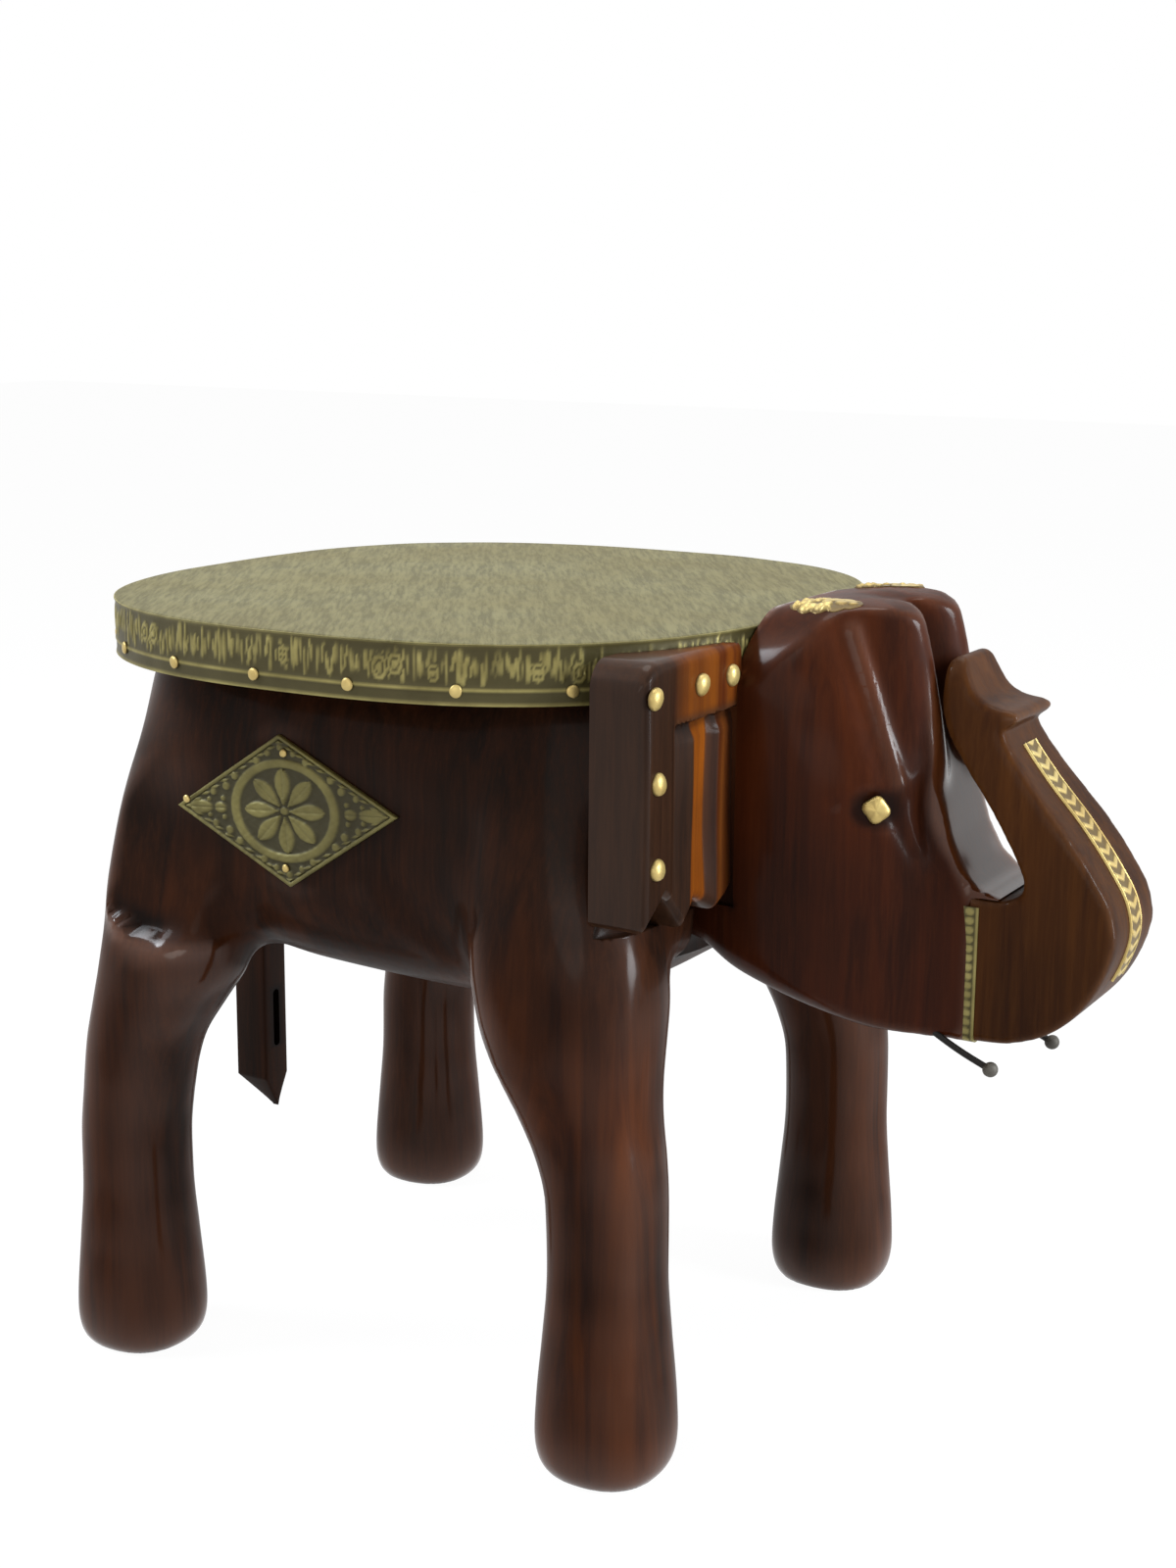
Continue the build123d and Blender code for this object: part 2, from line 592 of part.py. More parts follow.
tail_nail = domed_nail(tail_nail_head, nail_dome, tail_nail_shank, tail_nail_length)
with BuildPart() as tail_nails:
    with Locations(*tail_nail_spots):
        add(tail_nail)
save(tail_nails, "tail_nails")

# ---- Seat
with BuildPart() as seat_board:
    with BuildSketch(Plane((seat_x, 0, board_bottom))):
        add(seat_oval(brass_sheet))
    extrude(amount=board_top - board_bottom)
    nail_holes(seat_nail_spots, seat_nail_head[0], seat_nail_head[1])
    nail_holes(seat_nail_spots, seat_nail_shank, seat_nail_length)
    nail_holes(band_pin_spots, nail_shank, nail_length)
save(seat_board, "seat_board")

with BuildPart() as seat_top_sheet:
    with BuildSketch(Plane((seat_x, 0, board_top))):
        add(seat_oval(0))
    extrude(amount=brass_sheet)
save(seat_top_sheet, "seat_top_sheet")

with BuildPart() as seat_edge_band:
    with BuildSketch(Plane((seat_x, 0, board_bottom))):
        add(seat_oval(0))
        add(seat_oval(brass_sheet), mode=Mode.SUBTRACT)
    extrude(amount=board_top - board_bottom)
    with BuildSketch(Plane((seat_x, 0, board_bottom))):
        add(seat_oval(0))
        add(seat_oval(band_lip), mode=Mode.SUBTRACT)
    extrude(amount=-brass_sheet)
    nail_holes(band_pin_spots, nail_shank, nail_length)
save(seat_edge_band, "seat_edge_band")

band_pin = domed_nail(band_pin_diameter, nail_dome, nail_shank, nail_length)
with BuildPart() as seat_edge_pins:
    with Locations(*band_pin_spots):
        add(band_pin)
save(seat_edge_pins, "seat_edge_pins")

with BuildPart() as seat_nails:
    with Locations(*seat_nail_spots):
        Box(seat_nail_shank, seat_nail_shank, seat_nail_length, align=(Align.CENTER, Align.CENTER, Align.MAX))
        Box(seat_nail_head[0], seat_nail_head[0], seat_nail_head[1], align=(Align.CENTER, Align.CENTER, Align.MAX))
save(seat_nails, "seat_nails")

# ---- Loose tenons
with BuildPart() as neck_tenons:
    for level in neck_tenon_levels:
        with BuildSketch(across_plane(neck_x - neck_tenon[0] / 2, level)):
            Rectangle(neck_tenon[1], neck_tenon[2])
        extrude(amount=neck_tenon[0])
save(neck_tenons, "neck_tenons")

with BuildPart() as ear_tenons:
    for side in (-1, 1):
        with BuildSketch(side_plane(neck_x + ear_thickness / 2, side * ear_seat_y, ear_tenon_level, side)):
            Rectangle(ear_tenon[1], ear_tenon[2])
        extrude(amount=ear_tenon[0] / 2, both=True)
save(ear_tenons, "ear_tenons")

with BuildPart() as trunk_tenon_piece:
    with BuildSketch(across_plane(joint_x, trunk_underside + trunk_depth / 2)):
        Rectangle(trunk_tenon[1], trunk_tenon[2])
    extrude(amount=trunk_tenon[0] / 2, both=True)
save(trunk_tenon_piece, "trunk_tenon")

# ---- Flank plaques, with a raised ring and four nails each
plaque_nail = domed_nail(nail_head, nail_dome, nail_shank, nail_length)
for side in (-1, 1):
    with BuildPart() as plaque:
        with BuildSketch(plaque_planes[side]):
            Polygon(*plaque_outline, align=None)
        extrude(amount=brass_sheet)
        with BuildSketch(plaque_planes[side].offset(brass_sheet)):
            Circle(plaque_ring[0] / 2)
            Circle(plaque_ring[1] / 2, mode=Mode.SUBTRACT)
        extrude(amount=plaque_relief)
        nail_holes(plaque_nail_spots[side], nail_shank, nail_length)
    save(plaque, f"flank_plaque_{side_name[side]}")
    with BuildPart() as plaque_nails:
        with Locations(*plaque_nail_spots[side]):
            add(plaque_nail)
    save(plaque_nails, f"plaque_nails_{side_name[side]}")

# ---- Eyes, crown ornaments and tusks
eye_nail = domed_nail(eye_diameter, stud_height, nail_shank, nail_length)
for side in (-1, 1):
    with BuildPart() as eye:
        with Locations(eye_planes[side].location):
            add(eye_nail)
    save(eye, f"eye_stud_{side_name[side]}")

    with BuildPart() as ornament:
        with BuildSketch(Plane((neck_x + ornament_reach, side * ornament_spread / 2, ornament_level))):
            Rectangle(ornament_length, ornament_width)
        extrude(amount=ornament_thickness)
    save(ornament, f"crown_ornament_{side_name[side]}")

    with BuildPart() as tusk:
        with BuildSketch(tusk_planes[side]):
            Circle(tusk_wire / 2)
        extrude(amount=tusk_length)
        nail_tang = tusk_planes[side].location
        with Locations(nail_tang):
            Box(tusk_wire, tusk_wire, tusk_grip, align=(Align.CENTER, Align.CENTER, Align.MAX))
        with Locations(nail_tang * Pos(0, 0, tusk_length)):
            Sphere(tusk_ball / 2)
    save(tusk, f"tusk_nail_{side_name[side]}")
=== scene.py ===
import json
import random
from math import cos, hypot, pi, radians, sin

import bmesh
import bpy
import numpy as np
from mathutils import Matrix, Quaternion, Vector
from mathutils.bvhtree import BVHTree
from mathutils.kdtree import KDTree


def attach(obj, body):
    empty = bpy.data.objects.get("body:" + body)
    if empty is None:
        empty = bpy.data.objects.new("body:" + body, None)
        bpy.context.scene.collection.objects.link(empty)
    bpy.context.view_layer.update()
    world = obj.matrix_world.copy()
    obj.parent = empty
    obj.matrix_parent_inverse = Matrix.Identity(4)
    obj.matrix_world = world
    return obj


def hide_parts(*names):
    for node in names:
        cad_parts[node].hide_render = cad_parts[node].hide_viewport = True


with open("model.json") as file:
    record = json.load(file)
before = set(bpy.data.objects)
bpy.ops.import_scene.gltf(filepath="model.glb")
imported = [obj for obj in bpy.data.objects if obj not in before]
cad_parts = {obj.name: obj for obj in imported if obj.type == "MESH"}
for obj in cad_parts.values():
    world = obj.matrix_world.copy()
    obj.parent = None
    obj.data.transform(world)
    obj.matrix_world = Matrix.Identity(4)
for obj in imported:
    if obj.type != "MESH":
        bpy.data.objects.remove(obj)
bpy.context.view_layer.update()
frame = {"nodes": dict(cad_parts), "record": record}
nodeSlot = {entry["node"]: entry["material_slot"] for entry in frame["record"]["subparts"]}
random.seed(7)
mm = 0.001
scene = bpy.context.scene
print("frame loaded")


# Shader maths: a link stands for a socket, and an expression on links adds Math nodes
class Link:
    def __init__(self, finish, socket):
        self.finish, self.socket = finish, socket

    def maths(self, operation, *values):
        return self.finish.add("ShaderNodeMath", {"operation": operation}, dict(enumerate(values)))

    def __add__(self, other):
        return self.maths("ADD", self, other)

    __radd__ = __add__

    def __mul__(self, other):
        return self.maths("MULTIPLY", self, other)

    __rmul__ = __mul__

    def clamp(self):
        return self.maths("MINIMUM", self.maths("MAXIMUM", self, 0.0), 1.0)


# The nodes of a material or of the world
class Finish:
    def __init__(self, owner):
        self.owner = owner
        owner.use_nodes = True
        self.tree = owner.node_tree
        self.tree.nodes.clear()

    def add(self, kind, settings=None, values=None, out=0):
        node = self.tree.nodes.new(kind)
        for key, value in (settings or {}).items():
            setattr(node, key, value)
        for key, value in (values or {}).items():
            socket = node.inputs[key]
            if isinstance(value, Link):
                self.tree.links.new(value.socket, socket)
            else:
                socket.default_value = (*value, 1) if socket.type == "RGBA" else value
        return Link(self, node.outputs[out]) if len(node.outputs) else node

    @property
    def place(self):
        return self.add("ShaderNodeTexCoord", out="Object")

    def mix(self, share, first, second):
        return self.add("ShaderNodeMix", {"data_type": "RGBA"}, {"Factor": share, 6: first, 7: second}, out=2)

    def stretched(self, scale, turn=0.0, kind="POINT"):
        return self.add("ShaderNodeMapping", {"vector_type": kind},
                        {"Vector": self.place, "Rotation": (0, 0, turn), "Scale": scale})

    def noise(self, where, scale, detail, rough, warp=0.0):
        return self.add("ShaderNodeTexNoise", {}, {"Vector": where, "Scale": scale, "Detail": detail,
                                                   "Roughness": rough, "Distortion": warp})

    def spread(self, value, low, high, newLow=0.0, newHigh=1.0):
        return self.add("ShaderNodeMapRange", {}, {"Value": value, "From Min": low, "From Max": high,
                                                   "To Min": newLow, "To Max": newHigh})

    def painted(self, name):
        return self.add("ShaderNodeAttribute", {"attribute_name": name}, out="Fac")

    def bump(self, height, distance, strength):
        return self.add("ShaderNodeBump", {}, {"Height": height, "Distance": distance, "Strength": strength},
                        out="Normal")

    def seen(self):
        # 1 for what the camera sees straight, in metal or through glass
        rays = [self.add("ShaderNodeLightPath", out=f"Is {kind} Ray")
                for kind in ("Camera", "Glossy", "Transmission")]
        return (rays[0] + rays[1] + rays[2]).clamp()

    def shader(self, **values):
        surface = self.add("ShaderNodeBsdfPrincipled", {}, {key.replace("_", " "): v for key, v in values.items()})
        self.add("ShaderNodeOutputMaterial", {}, {"Surface": surface})
        return self.owner


def srgb(colour):
    # a colour given as 0 to 255 on screen
    return tuple(((c / 255 + 0.055) / 1.055) ** 2.4 if c > 10 else c / 255 / 12.92 for c in colour)


def shades(look):
    return {part: srgb(value) for part, value in look.items() if isinstance(value, tuple)}


# Lacquered wood: figure along the grain, stain in patches, edges and lit places painted lighter and glossier as wear
# and painted highlights, and the hollows darkened with dark lacquer and painted shade
def lacquerWood(name, look):
    wood, shade = Finish(bpy.data.materials.new(name)), shades(look)
    grain = wood.stretched({"x": (0.06, 1, 1), "z": (1, 1, 0.06)}[look["grain"]])
    fibre = wood.noise(grain, 520, 5, 0.65)
    figure = wood.noise(grain, 62, 4, 0.55, 1.4)
    patch = wood.noise(wood.place, 11, 3, 0.5)
    ripple = wood.noise(wood.place, 38, 2, 0.4)
    worn = wood.painted("worn")
    streaks = wood.spread(figure, 0.35, 0.68)
    tone = wood.mix(streaks, shade["dark"], shade["light"])
    tone = wood.mix(wood.painted("warm").clamp(), tone, wood.mix(streaks, shade["warmDark"], shade["warmLight"]))
    tone = wood.mix(wood.spread(patch, 0.38, 0.66) * look["patches"], tone, shade["stain"])
    tone = wood.mix(wood.spread(fibre, 0.45, 0.75) * 0.3, tone, shade["fibre"])
    tone = wood.mix((worn * wood.spread(fibre, 0.2, 0.6, 0.6, 1.0)).clamp(), tone, shade["wearAndHighlightTone"])
    tone = wood.mix((wood.painted("hollow") * 0.85).clamp(), tone, shade["hollow"])
    coat = worn * look["rubbedAndHighlit"] + wood.spread(patch, 0.3, 0.7, look["coat"], look["coat"] * 0.6)
    return wood.shader(
        Base_Color=tone, Roughness=wood.spread(fibre + patch, 0.6, 1.4, look["gloss"], look["gloss"] + 0.18),
        Specular_IOR_Level=look["sheen"], Coat_Weight=coat.clamp(), Coat_Roughness=0.14, Coat_IOR=1.45,
        Normal=wood.bump(fibre * 0.25 + figure * 0.5 + ripple * 1.6, 0.00035, 0.5))


bodyWood = lacquerWood("lacqueredBody", {
    "grain": "z", "dark": (24, 11, 4), "light": (48, 23, 9), "warmDark": (50, 20, 5), "warmLight": (96, 46, 12),
    "stain": (15, 8, 5), "fibre": (70, 36, 16), "wearAndHighlightTone": (88, 46, 20), "hollow": (8, 5, 4),
    "patches": 0.65, "gloss": 0.42, "sheen": 0.05, "coat": 0.08, "rubbedAndHighlit": 1.0})
headWood = lacquerWood("lacqueredHead", {
    "grain": "z", "dark": (44, 15, 3), "light": (72, 28, 6), "warmDark": (64, 24, 4), "warmLight": (96, 42, 8),
    "stain": (32, 17, 10), "fibre": (84, 40, 16), "wearAndHighlightTone": (104, 56, 26), "hollow": (9, 5, 4),
    "patches": 0.6, "gloss": 0.4, "sheen": 0.06, "coat": 0.1, "rubbedAndHighlit": 1.2})
earWood = lacquerWood("lacqueredEar", {
    "grain": "z", "dark": (36, 20, 11), "light": (58, 36, 22), "warmDark": (98, 40, 4), "warmLight": (158, 84, 16),
    "stain": (30, 17, 10), "fibre": (76, 44, 24), "wearAndHighlightTone": (96, 62, 40), "hollow": (10, 6, 5),
    "patches": 0.5, "gloss": 0.4, "sheen": 0.06, "coat": 0.12, "rubbedAndHighlit": 1.0})
trunkWood = lacquerWood("lacqueredTrunk", {
    "grain": "z", "dark": (48, 24, 10), "light": (80, 46, 20), "warmDark": (56, 26, 5), "warmLight": (88, 48, 12),
    "stain": (40, 22, 10), "fibre": (100, 60, 26), "wearAndHighlightTone": (128, 88, 58), "hollow": (18, 9, 5),
    "patches": 0.45, "gloss": 0.42, "sheen": 0.06, "coat": 0.08, "rubbedAndHighlit": 0.8})
plainWood = lacquerWood("sawnBoard", {
    "grain": "x", "dark": (120, 84, 54), "light": (160, 118, 80), "warmDark": (120, 84, 54),
    "warmLight": (160, 118, 80), "stain": (98, 66, 42), "fibre": (176, 136, 96), "wearAndHighlightTone": (170, 130, 90),
    "hollow": (60, 40, 26), "patches": 0.5, "gloss": 0.6, "sheen": 0.2, "coat": 0.0, "rubbedAndHighlit": 0.0})


# Aged sheet metal: bright where it stands proud, dark where dirt has stayed in the pattern
def agedMetal(name, look):
    metal, shade = Finish(bpy.data.materials.new(name)), shades(look)
    grime = metal.noise(metal.place, 46, 5, 0.6)
    scratch = metal.noise(metal.place, 900, 3, 0.6)
    tone = metal.mix(metal.spread(grime, 0.35, 0.7), shade["light"], shade["dull"])
    tone = metal.mix((metal.painted("hollow") * look["dirt"]).clamp(), tone, shade["dark"])
    return metal.shader(
        Base_Color=tone, Metallic=look["metal"],
        Roughness=metal.spread(grime + scratch * 0.3, 0.4, 0.95, look["gloss"], look["gloss"] + 0.2),
        Normal=metal.bump(scratch * 0.5 + grime, 0.00025, 0.4))


sheetBrass = agedMetal("embossedBrass", {"light": (126, 118, 66), "dull": (88, 80, 40), "dark": (42, 37, 15),
                                         "dirt": 0.9, "metal": 0.4, "gloss": 0.45})
bandBrass = agedMetal("bandBrass", {"light": (170, 158, 96), "dull": (114, 103, 52), "dark": (56, 49, 18),
                                    "dirt": 0.92, "metal": 0.4, "gloss": 0.42})
brightBrass = agedMetal("polishedBrass", {"light": (214, 192, 124), "dull": (180, 152, 88), "dark": (76, 54, 20),
                                          "dirt": 0.85, "metal": 0.6, "gloss": 0.34})
darkIron = agedMetal("darkIron", {"light": (104, 100, 92), "dull": (78, 74, 68), "dark": (14, 11, 10),
                                  "dirt": 0.95, "metal": 0.4, "gloss": 0.5})


# Seat brass: fine slanting strokes pressed close together over a dull khaki sheet
def strokedBrass(name, look):
    brass, shade = Finish(bpy.data.materials.new(name)), shades(look)
    slant = brass.stretched([1, look["length"], 1], radians(look["slant"]), "TEXTURE")
    stroke = brass.noise(slant, look["fine"], 3, 0.6)
    bundle = brass.noise(slant, look["coarse"], 2, 0.5)
    cloud = brass.noise(brass.place, 16, 4, 0.6)
    mark = brass.spread(stroke * 0.6 + bundle * 0.4, 0.4, 0.6)
    tone = brass.mix(mark, shade["between"], shade["stroke"])
    tone = brass.mix(brass.spread(cloud, 0.35, 0.7) * 0.45, tone, shade["cloud"])
    return brass.shader(Base_Color=tone, Metallic=0.15, Roughness=brass.spread(cloud, 0.3, 0.7, 0.5, 0.62),
                        Specular_IOR_Level=0.15, Normal=brass.bump(mark, 0.0005, 0.45))


seatBrass = strokedBrass("strokedBrass", {
    "slant": 33, "length": 9, "fine": 640, "coarse": 230, "stroke": (132, 126, 87), "between": (98, 93, 60),
    "cloud": (122, 112, 80)})

slotFinish = {"wood_dark": headWood, "wood_trunk": trunkWood, "wood_plain": plainWood, "brass_sheet": sheetBrass,
              "brass_bright": brightBrass, "iron": darkIron}
for nodeName, cadNode in frame["nodes"].items():
    cadNode.data.materials.clear()
    cadNode.data.materials.append(slotFinish[nodeSlot[nodeName]])
print("finishes made")


def between(x, y, lean, at):
    # a cubic through rows y at places x, which leaves each row with its own slope
    i = np.clip(np.searchsorted(x, at, side="right") - 1, 0, len(x) - 2)
    h = (x[i + 1] - x[i])[:, None]
    t = ((at - x[i]) / (x[i + 1] - x[i]))[:, None]
    return ((1 + 2 * t) * (1 - t) ** 2 * y[i] + t * (1 - t) ** 2 * h * lean[i]
            + t * t * (3 - 2 * t) * y[i + 1] + t * t * (t - 1) * h * lean[i + 1])


# A smooth curve through rows of numbers, read by the first of them, which never overshoots the rest
def smoothTable(rows):
    table = np.array(rows, float)
    x, y = table[:, 0], table[:, 1:]
    step = np.diff(x)[:, None]
    slope = np.diff(y, axis=0) / step
    lean = np.zeros_like(y)
    before, after = 2 * step[1:] + step[:-1], step[1:] + 2 * step[:-1]
    turning = slope[:-1] * slope[1:] <= 0
    safe = np.where(turning, 1, slope[:-1]), np.where(turning, 1, slope[1:])
    lean[1:-1] = np.where(turning, 0, (before + after) / (before / safe[0] + after / safe[1]))
    lean[0], lean[-1] = slope[0], slope[-1]
    return lambda at: between(x, y, lean, np.clip(np.atleast_1d(np.asarray(at, float)), x[0], x[-1]))


def runAlong(points):
    # how far along a line each of its points lies
    return np.concatenate([[0], np.cumsum(np.linalg.norm(np.diff(points, axis=0), axis=1))])


# A smooth line through chosen points, evenly walked
def curveThrough(points, count):
    points = np.array(points, float)
    run = runAlong(points)
    slope = np.diff(points, axis=0) / np.diff(run)[:, None]
    share = (np.diff(run)[:-1] / (run[2:] - run[:-2]))[:, None]
    lean = np.empty_like(points)
    lean[1:-1] = slope[:-1] * (1 - share) + slope[1:] * share
    lean[0], lean[-1] = 1.5 * slope[0] - 0.5 * lean[1], 1.5 * slope[-1] - 0.5 * lean[-2]
    return between(run, points, lean, np.linspace(0, run[-1], count))


def fade(value, low, high):
    t = np.clip((np.asarray(value, float) - low) / (high - low), 0, 1)
    return t * t * (3 - 2 * t)


def ovalRing(halfLong, halfWide, power, count):
    turn = np.arange(count) * 2 * pi / count
    c, s = np.cos(turn), np.sin(turn)
    return np.stack([halfLong * np.sign(c) * np.abs(c) ** (2 / power),
                     halfWide * np.sign(s) * np.abs(s) ** (2 / power)], 1)


def levelRing(z, x, y, halfLong, halfWide, power, count):
    flat = ovalRing(halfLong, halfWide, power, count)
    return np.column_stack([flat[:, 0] + x, flat[:, 1] + y, np.full(count, z)])


def uprightRing(x, halfWide, low, high, power, count):
    flat = ovalRing(halfWide, (high - low) / 2, power, count)
    return np.column_stack([np.full(count, x), flat[:, 0], flat[:, 1] + (high + low) / 2])


def placed(name, data):
    thing = bpy.data.objects.new(name, data)
    scene.collection.objects.link(thing)
    return thing


# A mesh from points in millimetres
def makePiece(name, points, faces):
    mesh = bpy.data.meshes.new(name)
    mesh.from_pydata([tuple(p * mm for p in point) for point in points], [], faces)
    mesh.update()
    return placed(name, mesh)


def facesOut(piece):
    work = bmesh.new()
    work.from_mesh(piece.data)
    bmesh.ops.recalc_face_normals(work, faces=work.faces)
    work.to_mesh(piece.data)
    work.free()
    return piece


# Closed rings of equal count, skinned, with both ends closed
def skinRings(name, rings):
    count, last = len(rings[0]), (len(rings) - 1) * len(rings[0])
    faces = [(r + i, r + (i + 1) % count, r + count + (i + 1) % count, r + count + i)
             for r in range(0, last, count) for i in range(count)]
    faces += [tuple(reversed(range(count))), tuple(range(last, last + count))]
    return facesOut(makePiece(name, [point for ring in rings for point in ring], faces))


# A sheet between a front and a back grid of points, closed along its edges. It can be bent round to a loop, and a
# loop can be filled to a middle, given as one point for the front and one for the back.
def skinGrid(name, front, back, loop=False, middle=()):
    long, wide = front.shape[:2]
    points = np.concatenate([front.reshape(-1, 3), back.reshape(-1, 3), *(np.array([point]) for point in middle)])
    under, last = long * wide, (long - 1) * wide
    faces, rim = [], []
    for i in range(long if loop else long - 1):
        row, after = i * wide, (i + 1) % long * wide
        for j in range(wide - 1):
            one, two, three, four = row + j, after + j, after + j + 1, row + j + 1
            faces += [(one, two, three, four), (under + four, under + three, under + two, under + one)]
        rim.append((after + wide - 1, row + wide - 1))
        if len(middle):
            faces += [(after, row, 2 * under), (under + row, under + after, 2 * under + 1)]
        else:
            rim.append((row, after))
    if not loop:
        for j in range(wide - 1):
            rim += [(j + 1, j), (last + j, last + j + 1)]
    faces += [(one, under + one, under + two, two) for one, two in rim]
    return facesOut(makePiece(name, points, faces))


def applied(piece):
    # bakes the piece's modifiers into its mesh
    ready = piece.evaluated_get(bpy.context.evaluated_depsgraph_get())
    mesh = bpy.data.meshes.new_from_object(ready)
    piece.modifiers.clear()
    piece.data = mesh
    return piece


def joined(name, pieces):
    work = bmesh.new()
    for piece in pieces:
        work.from_mesh(piece.data)
        bpy.data.objects.remove(piece)
    mesh = bpy.data.meshes.new(name)
    work.to_mesh(mesh)
    work.free()
    return placed(name, mesh)


def remeshed(piece, voxel):
    modifier = piece.modifiers.new("remesh", "REMESH")
    modifier.mode, modifier.voxel_size, modifier.adaptivity = "VOXEL", voxel * mm, 0
    return applied(piece)


def carved(piece, tools, operation="DIFFERENCE"):
    for tool in tools:
        modifier = piece.modifiers.new("cut", "BOOLEAN")
        modifier.operation, modifier.object, modifier.solver = operation, tool, "EXACT"
        applied(piece)
        bpy.data.objects.remove(tool)
    return piece


def blockTool(low, high):
    corners = [(x, y, z) for x in (low[0], high[0]) for y in (low[1], high[1]) for z in (low[2], high[2])]
    return facesOut(makePiece("tool", corners, [(0, 1, 3, 2), (4, 6, 7, 5), (0, 4, 5, 1), (2, 3, 7, 6),
                                                (0, 2, 6, 4), (1, 5, 7, 3)]))


def treeOf(piece):
    return BVHTree.FromObject(piece, bpy.context.evaluated_depsgraph_get())


def readPoints(piece):
    points = np.empty(len(piece.data.vertices) * 3, np.float32)
    piece.data.vertices.foreach_get("co", points)
    return points.reshape(-1, 3).astype(float) / mm


def readNormals(piece):
    normals = np.empty(len(piece.data.vertices) * 3, np.float32)
    piece.data.vertex_normals.foreach_get("vector", normals)
    return normals.reshape(-1, 3).astype(float)


def writePoints(piece, points):
    piece.data.vertices.foreach_set("co", (points * mm).astype(np.float32).ravel())
    piece.data.update()


def toRightSide(points):
    return points * (1, 0, 1) - np.abs(points) * (0, 1, 0)


# Average of each point's neighbours, for anything held per point
class Neighbours:
    def __init__(self, piece):
        edges = np.empty(len(piece.data.edges) * 2, np.int32)
        piece.data.edges.foreach_get("vertices", edges)
        self.one, self.two = edges.reshape(-1, 2).T
        self.size = len(piece.data.vertices)
        self.count = np.maximum(np.bincount(self.one, minlength=self.size)
                                + np.bincount(self.two, minlength=self.size), 1)

    def average(self, values):
        if values.ndim == 1:
            total = (np.bincount(self.one, values[self.two], self.size)
                     + np.bincount(self.two, values[self.one], self.size))
            return total / self.count
        return np.stack([self.average(values[:, k]) for k in range(values.shape[1])], 1)


def softened(piece, rounds, weight=1.0):
    near, points = Neighbours(piece), readPoints(piece)
    pull = 0.5 * np.reshape(weight, (-1, 1))
    for _ in range(rounds):
        points += (near.average(points) - points) * pull
    writePoints(piece, points)


def sunk(piece, spread, rounds):
    # how far each point lies below the softened surface round it
    near, points = Neighbours(piece), readPoints(piece)
    soft = points
    for _ in range(spread):
        soft = near.average(soft)
    depth = ((soft - points) * readNormals(piece)).sum(1)
    for _ in range(rounds):
        depth = near.average(depth)
    return depth


# Values from 0 to 1 kept on a piece's points, which its finish reads: how dark (painted shade in carved wood, dirt
# on metal), how light and glossy (wear and painted highlights) and how warm
def paint(piece, name, values):
    attribute = piece.data.attributes.get(name) or piece.data.attributes.new(name, "FLOAT", "POINT")
    attribute.data.foreach_set("value", np.clip(values, 0, 1).astype(np.float32))


def readPaint(piece, name):
    values = np.empty(len(piece.data.vertices), np.float32)
    piece.data.attributes[name].data.foreach_get("value", values)
    return values


# Painted shade and highlight from the carving: hollows darkened with dark lacquer and painted shade, edges painted
# lighter as wear and painted highlight
def paintCarving(piece, hollowGain, edgeWearAndHighlightGain, spread):
    depth = sunk(piece, spread, 2)
    paint(piece, "hollow", depth * hollowGain)
    paint(piece, "worn", -depth * edgeWearAndHighlightGain - 0.22)


def paintSheet(piece, relief, low, high):
    # dirt in the low parts of a relief, given once for the front and once for the back
    dirt = 1 - fade(relief, low, high)
    paint(piece, "hollow", np.concatenate([dirt.ravel(), dirt.ravel()]))


def dressed(piece, finish, node, sharpAngle=None):
    piece.data.materials.clear()
    piece.data.materials.append(finish)
    piece.data.name = piece.name
    for polygon in piece.data.polygons:
        polygon.use_smooth = True
    if sharpAngle:
        piece.data.set_sharp_from_angle(angle=radians(sharpAngle))
    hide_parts(node)
    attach(piece, "root")


def distanceToLine(points, line):
    # distance from points to a line of several points, and how far along it the nearest place is
    best, along = np.full(len(points), 1e9), np.zeros(len(points))
    line = np.array(line, float)
    runs = np.linalg.norm(np.diff(line, axis=0), axis=1)
    total, done = runs.sum(), 0.0
    for start, end, run in zip(line[:-1], line[1:], runs):
        t = np.clip(((points - start) @ (end - start)) / run ** 2, 0, 1)
        gap = np.linalg.norm(points - (start + t[:, None] * (end - start)), axis=1)
        closer = gap < best
        best[closer], along[closer] = gap[closer], ((done + t * run) / total)[closer]
        done += run
    return best, along


# How far points move out for chisel marks along lines. A mark is its height, its half width, the shares of its
# length between which it rises and falls, and its line.
def chiselPush(points, marks):
    push = np.zeros(len(points))
    for height, half, rise, fall, line in marks:
        gap, along = distanceToLine(points, line)
        mark = height * np.exp(-(gap / half) ** 2)
        if rise:
            mark = mark * fade(along, *rise)
        if fall:
            mark = mark * (1 - fade(along, *fall))
        push += mark
    return push


# Painted highlights along lines, as lacquer rubbed lighter and glossier, each given as how bright, how wide and its
# line
def paintHighlightAlong(piece, lines):
    worn, points = readPaint(piece, "worn"), toRightSide(readPoints(piece))
    for bright, half, line in lines:
        worn = np.maximum(worn, bright * np.exp(-(distanceToLine(points, line)[0] / half) ** 2))
    paint(piece, "worn", worn)


seat = {"x": -64.75, "halfLong": 136.5, "halfWide": 142.5, "power": 2.55, "top": 305.0, "under": 284.0}
joints = {"rump": -181.25, "neck": 47.75, "leg": 152.0, "trunk": 148.75, "trunkTop": 212.0, "earSeat": 50.0,
          "earFront": 69.75, "earBottom": 204.0, "rebate": 282.8, "rebateGap": 0.4}
past = {"beside": 300.0, "above": 400.0, "below": -50.0}  # clear of the whole stool, for the ends of cuts


def seatTool():
    # the seat's oval with a little room round it, for what the seat sits in
    halfLong, halfWide = seat["halfLong"] + joints["rebateGap"], seat["halfWide"] + joints["rebateGap"]
    return skinRings("tool", [levelRing(z, seat["x"], 0, halfLong, halfWide, seat["power"], 160)
                              for z in (joints["rebate"], past["above"])])


